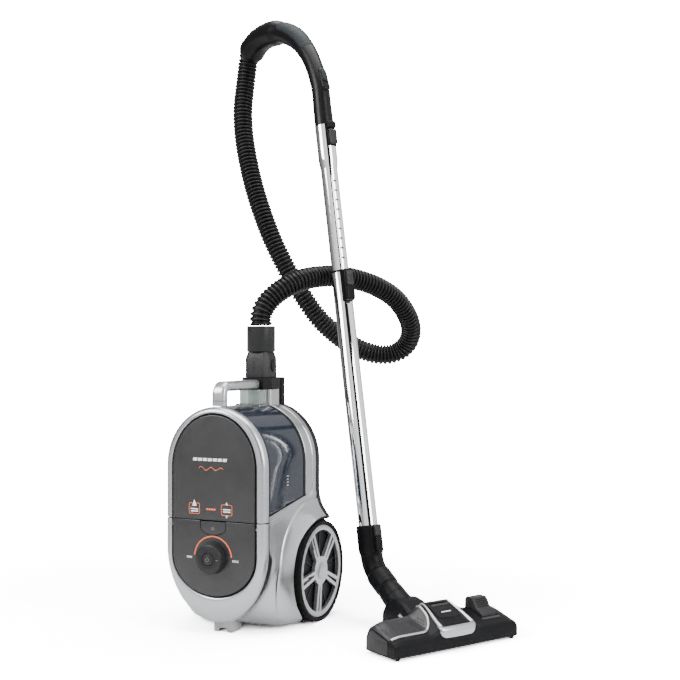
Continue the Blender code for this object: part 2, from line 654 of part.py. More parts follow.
# ---- Dust container -----------------------------------------------------------------------------------
def build_container():
    start, end = RIM_BACK_T + GAP, WINDOW_END_T - GAP
    tub = slab("container_tub", [body_outline(0.0008)], start, end, SMOKE)
    neck = t_box("neck_duct", (-0.022, 0.022), (0.108, end), (TOP_Z - 0.008, COLUMN_TOP_Z - GAP))
    inside = slab("tub_inside", [body_outline(0.0008 + WALL)], start - 0.01, end - WALL)
    cut(inside, below_deck("tub_floor", WALL))
    bore = t_box("neck_bore", (-0.0195, 0.0195), (0.1105, end - 0.0025), (TOP_Z - 0.020, COLUMN_TOP_Z + 0.01))
    join(tub, neck)
    cut(tub, below_deck("tub_under", GAP), inside, bore)
    middle = axis_frame("Z", (0, FRONT_Y + 0.072, 0))
    turned("cyclone_cone", [(0.034, 0.342), (0.034, 0.300), (0.016, 0.236), (0.013, 0.236),
                            (0.031, 0.301), (0.031, 0.342)], middle, DARK_GREY)
    ring("mesh_filter", 0.0500, 0.0480, 0.262, 0.342, middle, MID_GREY)
    ring("dust_plate", 0.0580, 0.0140, 0.3430, 0.3470, middle, BLACK)
    low, high = TOP_Z + 0.0008, HANDLE_BAR_TOP_Z
    inner = high - HANDLE_BAR_THICKNESS
    outline = [(-0.002, low), (-0.002, high - 0.014), (0.001, high - 0.006), (0.008, high - 0.001),
               (0.016, high), (0.1245, high), (0.1245, inner), (0.026, inner), (0.020, inner - 0.003),
               (0.0175, inner - 0.009), (0.0175, low)]
    handle = side_slab("carry_handle", outline, HANDLE_BAR_WIDTH / 2, SILVER)
    soften = handle.modifiers.new("rounding", "BEVEL")
    soften.width = 0.004
    soften.segments = 2
    soften.limit_method = "ANGLE"
    soften.angle_limit = math.radians(60)


# ---- Inlet and hose -----------------------------------------------------------------------------------
def chamfered(half_x, half_y, chamfer):
    x, y, c = half_x, half_y, chamfer
    return [(x, -y + c), (x, y - c), (x - c, y), (-x + c, y), (-x, y - c), (-x, -y + c), (-x + c, -y),
            (x - c, -y)]


def build_inlet():
    frame = axis_frame("Z", (0, INLET_Y, 0))
    seal_outer = 0.0235
    plate("inlet_collar", [chamfered(0.031, 0.028, 0.012), circle(seal_outer + 0.001)],
          COLUMN_TOP_Z + GAP, COLLAR_TOP_Z, frame, BLACK)
    ring("inlet_seal", seal_outer, 0.0195, 0.4200, 0.4240, frame, RUBBER)
    connector = turned("hose_connector", [(CONNECTOR_RADIUS, CONNECTOR_TOP_Z),
                                          (CONNECTOR_RADIUS, CONNECTOR_STEP_Z),
                                          (0.0190, CONNECTOR_STEP_Z - 0.006), (0.0190, 0.4180),
                                          (INLET_BORE, 0.4180), (INLET_BORE, CONNECTOR_TOP_Z)],
                       frame, DARK_GREY)
    stage = plate("connector_stage", [chamfered(0.0245, 0.0225, 0.008), circle(INLET_BORE + 0.001)],
                  COLLAR_TOP_Z + GAP, CONNECTOR_STEP_Z + 0.001, frame)
    join(connector, stage)
    for side, word in ((-1, "left"), (1, "right")):
        face = axis_frame("X", (0, INLET_Y, 0.459))
        oval = [(0.007 * math.cos(a), 0.011 * math.sin(a))
                for a in (FULL_TURN * i / 20 for i in range(20))]
        wide = [(a * 1.08, b * 1.05) for a, b in oval]
        cut(connector, plate("button_pocket_" + word, [wide], *sorted((side * 0.0212, side * 0.030)), face))
        plate("connector_button_" + word, [oval], *sorted((side * 0.0236, side * 0.0262)), face, BLACK)


def build_hose():
    path = smooth_path(HOSE_ROUTE, HOSE_POINT_SPACING)
    swept("hose_tube", path, [HOSE_RADIUS] * len(path), BLACK, detail=2)


# ---- Wand ---------------------------------------------------------------------------------------------
WAND_AXIS = (WAND_HEAD - WAND_FOOT).normalized()
WAND_FRONT = (NOZZLE_FORWARD - NOZZLE_FORWARD.dot(WAND_AXIS) * WAND_AXIS).normalized()
WAND_SIDE = WAND_AXIS.cross(WAND_FRONT)
WAND_FRAME = frame_at(WAND_FOOT, WAND_FRONT, WAND_SIDE, WAND_AXIS)


def plane_point(s, z):
    """A point in the wand's upright plane, s behind the nozzle's rear edge."""
    return NOZZLE_REAR - s * NOZZLE_FORWARD + Vector((0, 0, z))


def wand_box(name, x_range, half_width, u_range, finish=None):
    """A block on the wand's front side, x_range out from its axis and u_range along it."""
    return box(name, (x_range[0], -half_width, u_range[0]), (x_range[1], half_width, u_range[1]), finish,
               WAND_FRAME)


def build_tubes():
    head = (WAND_HEAD - WAND_FOOT).length
    ring("lower_tube", LOWER_TUBE_RADIUS, LOWER_TUBE_RADIUS - TUBE_WALL, 0.002, LOWER_TUBE_LENGTH,
         WAND_FRAME, CHROME)
    socket = head - 0.073
    inner = UPPER_TUBE_RADIUS - TUBE_WALL
    wide = UPPER_TUBE_RADIUS + 0.0020
    profile = [(wide, head + 0.002), (wide, socket), (UPPER_TUBE_RADIUS, socket - 0.004),
               (UPPER_TUBE_RADIUS, UPPER_TUBE_START), (inner, UPPER_TUBE_START), (inner, socket - 0.004),
               (wide - TUBE_WALL, socket), (wide - TUBE_WALL, head + 0.002)]
    upper = turned("upper_tube", profile, WAND_FRAME, CHROME)
    for notch in range(NOTCH_COUNT):
        u = LOWER_TUBE_LENGTH + 0.022 + NOTCH_PITCH * notch
        cut(upper, wand_box(f"notch_{notch}", (0.010, 0.020), 0.0045, (u, u + 0.006)))
    lock_bore = LOWER_TUBE_RADIUS + GAP
    top = LOWER_TUBE_LENGTH
    lock = ring("tube_lock", LOCK_RADIUS, lock_bore, top - LOCK_LENGTH, top, WAND_FRAME, BLACK)
    join(lock, wand_box("lock_lug", (LOCK_RADIUS - 0.003, LOCK_RADIUS + 0.0075), 0.0085,
                         (top - 0.0530, top - 0.0360)))
    wand_box("lock_slider", (LOCK_RADIUS + 0.0007, LOCK_RADIUS + 0.0075), 0.0085,
             (top - 0.0305, top - 0.0030), MID_GREY)
    wand_box("handle_latch", (0.0200, 0.0262), 0.0080, (head - 0.040, head - 0.010), MID_GREY)


def build_handle():
    head = (WAND_HEAD - WAND_FOOT).length
    places = [(0.341, 1.025), (0.364, 1.060), (0.394, 1.090), (0.425, 1.109), (0.460, 1.1225),
              (0.500, 1.131), (0.540, 1.1315), (0.570, 1.124), (0.587, 1.107), (0.592, 1.091)]
    start = WAND_FOOT + WAND_AXIS * (head + 0.0025)
    route = [start, start + WAND_AXIS * 0.030, start + WAND_AXIS * 0.075]
    route += [plane_point(s, z) for s, z in places]
    path = smooth_path(route, 0.016)

    def radius_at(share):
        if share < 0.12:
            return 0.0205
        if share < 0.30:
            return 0.0180
        if share < 0.80:
            return 0.0180 + 0.0060 * (share - 0.30) / 0.50
        return 0.0240 + 0.0030 * math.sin(math.pi * (share - 0.80) / 0.25)

    radii = [radius_at(i / (len(path) - 1)) for i in range(len(path))]
    wall = 0.003
    swept("handle_grip", path, radii, BLACK, wall=wall)
    first, last = round(len(path) * 0.36), round(len(path) * 0.76)
    upward = WAND_SIDE
    stretch = path[first:last]
    clear = swept("handle_clearance", path, [r + GAP for r in radii])
    insert = swept("grip_insert", stretch, [r + 0.0022 for r in radii[first:last]], MID_GREY)
    lowered = []
    for before, place, after in zip(path[first - 2:], path[first - 1:last + 1], path[first:]):
        along = (after - before).normalized()
        lowered.append(place + along.cross(upward).normalized() * 0.016)
    below = swept("insert_underside", lowered, [r + 0.0045 for r in radii[first - 1:last + 1]])
    cut(insert, clear, below)
    middle = min(range(len(path)), key=lambda i: abs(path[i].z - AIR_SLIDER_Z))
    origin = path[middle]
    along = (path[middle + 1] - path[middle - 1]).normalized()
    outward = -along.cross(upward).normalized()
    slider_frame = frame_at(origin, outward, along.cross(outward), along)
    box("air_slider", (0.0190, -0.0075, -0.012), (0.0245, 0.0075, 0.012), MID_GREY, slider_frame)


# ---- Neck and floor nozzle ----------------------------------------------------------------------------
NOZZLE_SIDE = Vector((0, 0, 1)).cross(NOZZLE_FORWARD)
NOZZLE_FRAME = frame_at(NOZZLE_REAR, NOZZLE_FORWARD, NOZZLE_SIDE, Vector((0, 0, 1)))
PLANE_FRAME = frame_at(NOZZLE_REAR, NOZZLE_FORWARD, Vector((0, 0, 1)), -NOZZLE_SIDE)
TILT_S, TILT_Z = 0.012, 0.030
NECK_START = (0.070, 0.040)
NECK_JOINT = (0.112, 0.068)
NECK_BEND = (0.157, 0.098)
MOUTH = ((0.026, 0.046), NOZZLE_HALF_LENGTH - 0.0375)
BRUSH = ((0.0555, 0.0655), NOZZLE_HALF_LENGTH - 0.0245)


def build_neck():
    joint = plane_point(*NECK_JOINT)
    bend = plane_point(*NECK_BEND)
    lower_way = (bend - joint).normalized()
    corner = [joint + lower_way * GAP, joint + lower_way * 0.012, bend - lower_way * 0.020,
              bend + (WAND_AXIS - lower_way) * 0.0055, bend.lerp(WAND_FOOT, 0.65),
              WAND_FOOT - WAND_AXIS * 0.004]
    path = smooth_path(corner, 0.010)
    elbow = swept("neck_elbow", path, [NECK_RADIUS + 0.0005] * len(path), BLACK, wall=0.0025)
    bore = LOWER_TUBE_RADIUS + GAP
    wide = bore + 0.0043
    step = bore - 0.0014
    collar = turned("neck_collar", [(wide, 0.048), (wide, 0.002), (NECK_RADIUS, -0.008), (step, -0.008),
                                    (step, 0.0), (bore, 0.0), (bore, 0.048)], WAND_FRAME)
    lug = wand_box("latch_lug", (NECK_RADIUS, wide + 0.0068), 0.0080, (0.008, 0.0265))
    join(elbow, collar, lug)
    wand_box("neck_latch", (wide + 0.0020, wide + 0.0070), 0.0080, (0.0275, 0.0465), MID_GREY)

    outline = [(-0.012, 0.0195), (-0.012, 0.0405), (-0.030, 0.0480), (-0.052, 0.0600), (-0.078, 0.0600),
               (-0.098, 0.0400), (-0.100, 0.0180), (-0.090, 0.0060), (-0.060, 0.0060)]
    carriage = plate("nozzle_carriage", [outline], -0.0250, 0.0250, PLANE_FRAME, BLACK)
    barrel_frame = PLANE_FRAME @ Matrix.Translation((-TILT_S, TILT_Z, 0))
    barrel = cylinder("tilt_barrel", 0.0115, -0.0250, 0.0250, barrel_frame, sides=24)
    tube = swept("carriage_tube", [plane_point(*NECK_START), joint], [NECK_RADIUS + 0.002, NECK_RADIUS])
    join(carriage, barrel, tube)
    cut(carriage, cylinder("tilt_bore", 0.0034, -0.03, 0.03, barrel_frame, sides=16))
    cylinder("tilt_pin", 0.0030, -0.0330, 0.0330, barrel_frame, STEEL, sides=16)
    for side, word in ((-1, "left"), (1, "right")):
        frame = PLANE_FRAME @ Matrix.Translation((-0.078, 0.0120, 0))
        low, high = sorted((side * 0.0256, side * 0.0316))
        cylinder("carriage_wheel_" + word, 0.0115, low, high, frame, DARK_GREY, sides=24)
    return barrel_frame


def nozzle_section(l, rear_z, front_z, inset=0.0, low=NOZZLE_UNDERSIDE):
    """The nozzle's outline at one place along its length, in its own frame."""
    front = NOZZLE_DEPTH - inset
    points = [(inset, low), (inset, rear_z - 0.016), (0.008 + 0.6 * inset, rear_z - 0.004 - 0.8 * inset),
              (0.022, rear_z - inset), (0.058, front_z + 0.009 - inset),
              (front - 0.004, front_z - inset), (front, front_z - 0.005 - inset), (front, low)]
    return [NOZZLE_FRAME @ Vector((f, l, z)) for f, z in points]


def nozzle_heights():
    half = NOZZLE_HALF_LENGTH
    hump = [(0.046, 0.0560, 0.0330), (0.036, 0.0655, 0.0390), (0.020, NOZZLE_HUMP_HEIGHT, 0.0420)]
    side = [(half, NOZZLE_END_HEIGHT - 0.006, 0.0260), (half - 0.012, NOZZLE_END_HEIGHT, 0.0290)] + hump
    return [(-l, rear, front) for l, rear, front in side] + [(l, rear, front) for l, rear, front in
                                                             reversed(side)]


def build_nozzle(barrel_frame):
    shell = loft("nozzle_shell", [nozzle_section(l, rear, front) for l, rear, front in nozzle_heights()],
                 PANEL_GREY)
    wall = 0.0025
    inside = []
    for l, rear, front in nozzle_heights():
        shrunk = math.copysign(min(abs(l), NOZZLE_HALF_LENGTH - wall), l)
        inside.append(nozzle_section(shrunk, rear, front, wall, NOZZLE_UNDERSIDE - 0.01))
    cut(shell, loft("nozzle_inside", inside))
    for side in (-1, 1):
        low, high = sorted((side * 0.0258, side * 0.0325))
        lug = plate(f"tilt_lug_{side}", [[(-0.020, 0.0200), (0.0030, 0.0140), (0.0030, 0.0460),
                                          (-0.012, 0.0440), (-0.022, 0.0360)]], low, high, PLANE_FRAME)
        join(shell, lug)
    cut(shell, cylinder("pin_bore", 0.0034, -0.04, 0.04, barrel_frame, sides=16))
    pedal_near = NOZZLE_HALF_LENGTH - 0.0590
    pedal_far = NOZZLE_HALF_LENGTH - 0.0260
    pedal_room = box("pedal_room", (0.0035, pedal_near - 0.002, 0.0260), (0.0515, pedal_far + 0.002, 0.09),
                     None, NOZZLE_FRAME)
    cut(shell, pedal_room)
    outline = [(0.0060, 0.0440), (0.0060, 0.0600), (0.0110, 0.0665), (0.0250, 0.0665), (0.0350, 0.0520),
               (0.0490, 0.0440), (0.0490, 0.0380), (0.0260, 0.0350)]
    plate("nozzle_pedal", [outline], -pedal_far, -pedal_near, PLANE_FRAME, BLACK)
    (low, high), reach = MOUTH
    mouth = [(low, -reach), (high, -reach), (high, reach), (low, reach)]
    low, high, reach = BRUSH[0][0] - 0.001, BRUSH[0][1] + 0.001, BRUSH[1] + 0.001
    slot = [(low, -reach), (high, -reach), (high, reach), (low, reach)]
    edge = wall + GAP
    end = NOZZLE_HALF_LENGTH - edge
    base = [(edge, -end), (NOZZLE_DEPTH - edge, -end), (NOZZLE_DEPTH - edge, end), (edge, end)]
    plate("nozzle_soleplate", [base, mouth, slot], 0.0030, 0.0062, NOZZLE_FRAME, STEEL)
    box("brush_strip", (BRUSH[0][0], -BRUSH[1], 0.0012), (BRUSH[0][1], BRUSH[1], 0.0120), BRISTLE,
        NOZZLE_FRAME)
    band = [(NOZZLE_DEPTH + GAP, -0.040), (NOZZLE_DEPTH + 0.0045, -0.030), (NOZZLE_DEPTH + 0.0055, 0.0),
            (NOZZLE_DEPTH + 0.0045, 0.030), (NOZZLE_DEPTH + GAP, 0.040)]
    plate("nozzle_bumper", [band], 0.0220, 0.0360, NOZZLE_FRAME, SILVER)


# ---- Joints -------------------------------------------------------------------------------------------
def joint_origins():
    """Each moving body's pivot and the objects that turn or slide with it."""
    wheel = Vector((0, FRONT_Y + WHEEL_T, WHEEL_RADIUS))
    castor = Vector((0, FRONT_Y + BACK_END_T, CASTOR_Z))
    return {
        "wheel_left": (wheel, ["tyre_left", "wheel_rim_left", "hub_cap_left"]),
        "wheel_right": (wheel, ["tyre_right", "wheel_rim_right", "hub_cap_right"]),
        "castor": (castor, ["castor_fork", "castor_pin"]),
        "castor_roller": (castor + Vector((0, 0.0205, -0.008)), ["castor_wheel"]),
        "rotor": (Vector((0, FRONT_Y, MOTOR_Z)), ["motor_rotor"]),
        "reel": (Vector((0, FRONT_Y + REEL_T, MOTOR_Z)), ["cord_reel"]),
        "knob": (Vector((0, FRONT_Y, KNOB_Z)), ["power_knob", "power_button"]),
        "container": (Vector((0, FRONT_Y, SEAM_Z)),
                      ["container_tub", "container_rim", "container_panel", "carry_handle",
                       "cyclone_cone", "mesh_filter", "dust_plate"]),
        "wand": (WAND_FOOT, ["lower_tube", "tube_lock", "neck_elbow", "lock_slider", "neck_latch"]),
        "neck": (plane_point(*NECK_JOINT),
                 ["nozzle_carriage", "carriage_wheel_left", "carriage_wheel_right", "tilt_pin"]),
        "nozzle": (plane_point(TILT_S, TILT_Z),
                   ["nozzle_shell", "nozzle_soleplate", "nozzle_bumper", "nozzle_pedal", "brush_strip"]),
    }


def parent_to_pivots():
    for name, (origin, members) in joint_origins().items():
        pivot = bpy.data.objects.new(name + "_pivot", None)
        pivot.empty_display_size = 0.02
        pivot.location = origin
        PARTS.objects.link(pivot)
        bpy.context.view_layer.update()
        for member in members:
            piece = bpy.data.objects[member]
            piece.parent = pivot
            piece.matrix_parent_inverse = pivot.matrix_world.inverted()


clear_scene()
PARTS = new_collection("canister_vacuum_cleaner")
CUTTERS = new_collection("cutters")
build_body_shell()
build_back_shell()
build_front()
build_bracket()
build_knob()
build_inside()
build_wheel(-1, "left")
build_wheel(1, "right")
build_castor()
build_container()
build_inlet()
build_hose()
build_tubes()
build_handle()
build_nozzle(build_neck())
parent_to_pivots()
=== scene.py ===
"""Looks of the canister vacuum cleaner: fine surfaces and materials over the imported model.

Metres, +Z up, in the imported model's frame. The canister faces -Y and its middle plane is X = 0. Depths
marked "t" are measured rearward from the front rim plane.
"""

import math

import bmesh
import bpy
from mathutils import Matrix, Vector


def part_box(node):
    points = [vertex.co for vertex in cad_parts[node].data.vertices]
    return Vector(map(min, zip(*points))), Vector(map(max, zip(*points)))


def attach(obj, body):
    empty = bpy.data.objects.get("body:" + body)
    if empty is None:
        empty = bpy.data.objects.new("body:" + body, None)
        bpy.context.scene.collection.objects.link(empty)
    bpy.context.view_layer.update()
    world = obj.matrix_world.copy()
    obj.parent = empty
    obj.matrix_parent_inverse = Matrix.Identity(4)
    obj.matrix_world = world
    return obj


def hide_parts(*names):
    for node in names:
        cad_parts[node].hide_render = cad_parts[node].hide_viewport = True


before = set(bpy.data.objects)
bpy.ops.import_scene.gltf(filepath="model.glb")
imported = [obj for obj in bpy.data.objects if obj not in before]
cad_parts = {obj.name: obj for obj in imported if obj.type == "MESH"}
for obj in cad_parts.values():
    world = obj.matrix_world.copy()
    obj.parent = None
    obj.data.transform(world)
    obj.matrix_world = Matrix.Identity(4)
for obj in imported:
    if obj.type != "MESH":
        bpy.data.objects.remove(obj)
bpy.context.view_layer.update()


def low(node):
    return Vector(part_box(node)[0])


def high(node):
    return Vector(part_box(node)[1])


# ---- Sizes --------------------------------------------------------------------------------------------
RIM_BACK_T = 0.003
FRONT_Y = high("container_rim").y - RIM_BACK_T
HALF_WIDTH = high("container_rim").x
TOP_Z = high("container_rim").z
TOP_RISE = 0.103
SIDE_FOOT_Z = 0.150         # where the straight sides end and the rounded bottom starts
BOTTOM_Z = low("lower_bezel").z
SEAM_Z = low("container_rim").z
PANEL_HALF_WIDTH = high("container_panel").x - 0.0010
PANEL_TOP_Z = high("container_panel").z
PANEL_TOP_RISE = 0.090
PANEL_BOTTOM_Z = low("lower_front_panel").z
PANEL_BOTTOM_DROP = 0.068
PANEL_PROUD = FRONT_Y - low("container_panel").y
PANEL_GAP = 0.0030          # black line between the panel and the silver rim
RIM_PROUD = 0.0135
WINDOW_END_T = high("container_tub").y - FRONT_Y
SHELL_END_T = 0.183
BACK_END_T = 0.201
DECK_FRONT_Z = 0.2065
DECK_SLOPE = 0.152
SHELL_WALL = 0.0026
SKIRT_FLARE = 0.0115        # how far the lower skirt swells outward in front of the wheels
SKIRT_FOOT = 0.0065         # how much wider it gets again where it meets the floor
SKIRT_BOTTOM_Z = 0.0030
ARCH_TOP_Z = 0.2300         # where the rear arch's legs meet the lower shell

WHEEL_Y = (low("tyre_right").y + high("tyre_right").y) / 2
WHEEL_Z = (low("tyre_right").z + high("tyre_right").z) / 2
WHEEL_T = WHEEL_Y - FRONT_Y
TYRE_RADIUS = high("tyre_right").z - WHEEL_Z
TYRE_INNER_X = low("tyre_right").x
TYRE_OUTER_X = high("tyre_right").x
RIM_RADIUS = high("wheel_rim_right").z - WHEEL_Z
SPOKE_COUNT = 5
FIRST_SPOKE = 118           # degrees, seen from the wheel's outer side
LIP_RADIUS = 0.0952         # wheel opening in the skirt
LIP_X = 0.1105
FLARE_X = 0.1190            # the arch's lip at its rear end
CREASE_RADIUS = 0.1305      # outer edge of the raised band round the wheel

KNOB_Z = (low("power_knob").z + high("power_knob").z) / 2
KNOB_RADIUS = high("power_knob").x
KNOB_TIP = FRONT_Y - low("power_knob").y
BUTTON_TIP = FRONT_Y - low("power_button").y
DIAL_RADIUS = 0.0365
DIAL_WIDTH = 0.0022

INLET_Y = (low("inlet_collar").y + high("inlet_collar").y) / 2
COLUMN_TOP_Z = low("inlet_collar").z
COLLAR_TOP_Z = high("inlet_collar").z
CONNECTOR_STEP_Z = 0.484
CONNECTOR_TOP_Z = high("hose_connector").z
CONNECTOR_RADIUS = high("hose_connector").x
HANDLE_TOP_Z = high("carry_handle").z
HANDLE_WIDTH = 2 * high("carry_handle").x
HANDLE_THICKNESS = 0.0165

HOSE_RADIUS = 0.0203
HOSE_PITCH = 0.0078
HOSE_RINGS = 8              # rings of points in each corrugation
LOWER_TUBE_RADIUS = 0.0175
UPPER_TUBE_RADIUS = 0.0160
TUBE_WALL = 0.001
WAND_FOOT = Vector((0.2018, 0.1421, 0.1246))
WAND_HEAD = Vector((0.0732, 0.2151, 0.9100))
WAND_LENGTH = (WAND_HEAD - WAND_FOOT).length
LOWER_TUBE_LENGTH = 0.516
UPPER_TUBE_START = 0.336
NOTCH_PITCH = 0.0185
NOTCH_COUNT = 9
AIR_SLIDER_Z = 1.000

NOZZLE_REAR = Vector((0.3427, 0.0620, 0.0))
NOZZLE_FORWARD = Vector((0.8695, -0.4940, 0.0)).normalized()
NOZZLE_HALF_LENGTH = 0.1325
NOZZLE_DEPTH = 0.0735
NOZZLE_UNDERSIDE = 0.0045
NECK_RADIUS = 0.0195
NECK_START = (0.070, 0.040)
NECK_JOINT = (0.112, 0.068)
NECK_BEND = (0.157, 0.098)
TILT_S, TILT_Z = 0.012, 0.030

# The hose's route, from the connector over and behind the wand to the bent handle.
HOSE_ROUTE = [
    (0.000, 0.099, 0.5322), (0.000, 0.099, 0.546), (0.003, 0.102, 0.562), (0.012, 0.113, 0.581),
    (0.029, 0.133, 0.601), (0.048, 0.163, 0.617), (0.065, 0.198, 0.625), (0.086, 0.241, 0.628),
    (0.110, 0.286, 0.623), (0.135, 0.328, 0.610), (0.154, 0.368, 0.590), (0.164, 0.401, 0.563),
    (0.165, 0.429, 0.534), (0.155, 0.446, 0.507), (0.136, 0.452, 0.487), (0.112, 0.447, 0.477),
    (0.086, 0.435, 0.477), (0.061, 0.417, 0.486), (0.036, 0.396, 0.502), (0.014, 0.374, 0.524),
    (-0.009, 0.352, 0.554), (-0.035, 0.332, 0.600), (-0.063, 0.318, 0.653), (-0.091, 0.312, 0.710),
    (-0.115, 0.313, 0.765), (-0.137, 0.318, 0.820), (-0.156, 0.325, 0.879), (-0.170, 0.333, 0.935),
    (-0.177, 0.341, 0.988), (-0.1765, 0.350, 1.040), (-0.1722, 0.3546, 1.0890),
]
HOSE_TIP = (-0.1680, 0.3522, 1.1010)    # the hose's end inside the cuff

FULL_TURN = 2 * math.pi
SIDES = ((-1, "left"), (1, "right"))


# ---- Materials ----------------------------------------------------------------------------------------
def principled(name, colour, roughness, slot, **values):
    """A new Principled material; its slot is kept on it for the pieces that use it."""
    made = bpy.data.materials.new(name)
    made.use_nodes = True
    made["slot"] = slot
    shader = made.node_tree.nodes["Principled BSDF"]
    shader.inputs["Base Color"].default_value = (*colour, 1.0)
    shader.inputs["Roughness"].default_value = roughness
    for socket, value in values.items():
        shader.inputs[socket.replace("_", " ")].default_value = value
    return made


def add_node(owner, kind, **values):
    """Adds a shader node to a material or world and sets its inputs."""
    node = owner.node_tree.nodes.new("ShaderNode" + kind)
    for socket, value in values.items():
        node.inputs[socket.replace("_", " ")].default_value = value
    return node


def link(owner, source, target):
    owner.node_tree.links.new(source, target)


def shader_input(made, socket):
    return made.node_tree.nodes["Principled BSDF"].inputs[socket]


def coordinates(made, stretch=(1, 1, 1)):
    place = add_node(made, "TexCoord")
    mapping = add_node(made, "Mapping", Scale=stretch)
    link(made, place.outputs["Object"], mapping.inputs["Vector"])
    return mapping.outputs["Vector"]


def noise(made, scale, detail=2.0, stretch=(1, 1, 1)):
    pattern = add_node(made, "TexNoise", Scale=scale, Detail=detail)
    link(made, coordinates(made, stretch), pattern.inputs["Vector"])
    return pattern.outputs["Fac"]


def vary(made, source, socket, lowest, highest):
    """Drives a socket between two values by a pattern."""
    spread = add_node(made, "MapRange", From_Min=0.35, From_Max=0.65, To_Min=lowest, To_Max=highest)
    link(made, source, spread.inputs["Value"])
    link(made, spread.outputs["Result"], shader_input(made, socket))


def tint(made, source, first, second):
    """Mixes two near colours by a pattern."""
    ramp = add_node(made, "ValToRGB")
    for element, position, colour in zip(ramp.color_ramp.elements, (0.35, 0.65), (first, second)):
        element.position = position
        element.color = (*colour, 1.0)
    link(made, source, ramp.inputs["Fac"])
    link(made, ramp.outputs["Color"], shader_input(made, "Base Color"))


def bump(made, source, height, strength=1.0):
    relief = add_node(made, "Bump", Strength=strength, Distance=height)
    link(made, source, relief.inputs["Height"])
    link(made, relief.outputs["Normal"], shader_input(made, "Normal"))


def moulded(name, colour, roughness, slot, grain=1800, relief=0.00004, **values):
    """Moulded plastic: a fine spark-eroded grain, and a slow drift in gloss and shade."""
    made = principled(name, colour, roughness, slot, **values)
    vary(made, noise(made, 35), "Roughness", roughness - 0.04, roughness + 0.05)
    tint(made, noise(made, 22), [c * 0.93 for c in colour], [c * 1.07 for c in colour])
    bump(made, noise(made, grain), relief)
    return made


def silver_paint():
    made = principled("silver_paint", (0.46, 0.47, 0.485), 0.30, "silver", Metallic=0.85,
                      Coat_Weight=0.35, Coat_Roughness=0.16)
    vary(made, noise(made, 3200, 3), "Roughness", 0.24, 0.34)
    tint(made, noise(made, 2600, 3), (0.42, 0.43, 0.445), (0.50, 0.51, 0.525))
    bump(made, noise(made, 500), 0.00001, 0.5)
    return made


def chrome():
    made = principled("chrome_plate", (0.86, 0.87, 0.88), 0.06, "chrome", Metallic=1.0)
    vary(made, noise(made, 60, 3, (8, 8, 1)), "Roughness", 0.045, 0.085)
    bump(made, noise(made, 25, 2, (1, 1, 0.3)), 0.00002, 0.25)
    return made


def steel(name="brushed_steel"):
    made = principled(name, (0.55, 0.56, 0.58), 0.30, "steel", Metallic=1.0)
    vary(made, noise(made, 900, 3, (0.1, 1, 1)), "Roughness", 0.24, 0.38)
    bump(made, noise(made, 900, 3, (0.1, 1, 1)), 0.00002)
    return made


def smoky_window():
    made = principled("smoky_window", (0.024, 0.031, 0.046), 0.06, "smoke", Transmission_Weight=0.42,
                      IOR=1.45, Specular_IOR_Level=0.35)
    vary(made, noise(made, 40), "Roughness", 0.05, 0.10)
    bump(made, noise(made, 30), 0.00003, 0.3)
    return made


def clear_neck():
    made = principled("clear_neck", (0.80, 0.88, 0.84), 0.08, "smoke", Transmission_Weight=0.90, IOR=1.45)
    vary(made, noise(made, 60), "Roughness", 0.06, 0.12)
    return made


def tyre_rubber():
    made = principled("tyre_rubber", (0.004, 0.004, 0.004), 0.60, "tyre", Specular_IOR_Level=0.12)
    vary(made, noise(made, 120, 3), "Roughness", 0.52, 0.72)
    bump(made, noise(made, 1500, 3), 0.00008)
    return made


def hose_plastic():
    made = principled("hose_plastic", (0.0035, 0.0035, 0.004), 0.34, "hose", Specular_IOR_Level=0.22)
    vary(made, noise(made, 90, 3), "Roughness", 0.30, 0.46)
    bump(made, noise(made, 1100), 0.00005)
    return made


def soft_insert():
    made = principled("soft_insert", (0.0085, 0.0125, 0.0140), 0.55, "mid_grey", Specular_IOR_Level=0.18)
    vary(made, noise(made, 200, 3), "Roughness", 0.52, 0.68)
    bump(made, noise(made, 1400, 3), 0.00010)
    return made


def filter_foam():
    made = principled("filter_foam", (0.62, 0.62, 0.58), 0.95, "foam")
    tint(made, noise(made, 600, 4), (0.50, 0.50, 0.46), (0.70, 0.70, 0.66))
    bump(made, noise(made, 700, 4), 0.0006)
    return made


def circuit_board():
    made = principled("circuit_board", (0.03, 0.20, 0.09), 0.45, "board")
    tint(made, noise(made, 300, 3), (0.02, 0.13, 0.06), (0.05, 0.26, 0.12))
    bump(made, noise(made, 500), 0.0001)
    return made


def bristles():
    made = principled("bristles", (0.05, 0.05, 0.05), 0.85, "bristle")
    bump(made, noise(made, 700, 2, (1, 1, 0.05)), 0.0008)
    tint(made, noise(made, 700, 2, (1, 1, 0.05)), (0.02, 0.02, 0.02), (0.09, 0.09, 0.09))
    return made


def print_ink(name, colour):
    made = principled(name, colour, 0.45, "panel")
    vary(made, noise(made, 400), "Roughness", 0.40, 0.52)
    return made


SILVER = silver_paint()
PANEL = moulded("charcoal_panel", (0.019, 0.019, 0.020), 0.36, "panel", 2200, 0.00002)
BLACK = moulded("black_plastic", (0.0025, 0.0025, 0.003), 0.42, "black", Specular_IOR_Level=0.12)
GLOSS_BLACK = moulded("gloss_black", (0.0025, 0.0025, 0.003), 0.34, "gloss_black", 900, 0.00001,
                      Specular_IOR_Level=0.17)
DARK_GREY = moulded("dark_grey_plastic", (0.013, 0.013, 0.014), 0.40, "dark_grey", Specular_IOR_Level=0.28)
MID_GREY = moulded("grey_plastic", (0.022, 0.023, 0.025), 0.45, "mid_grey", Specular_IOR_Level=0.25)
COVER = moulded("nozzle_cover", (0.010, 0.010, 0.011), 0.30, "panel", 1600, 0.00002,
                Specular_IOR_Level=0.35)
PALE_GREY = moulded("pale_grey_plastic", (0.42, 0.42, 0.41), 0.42, "bracket")
SMOKE = smoky_window()
CLEAR = clear_neck()
TYRE = tyre_rubber()
HOSE = hose_plastic()
INSERT = soft_insert()
CHROME = chrome()
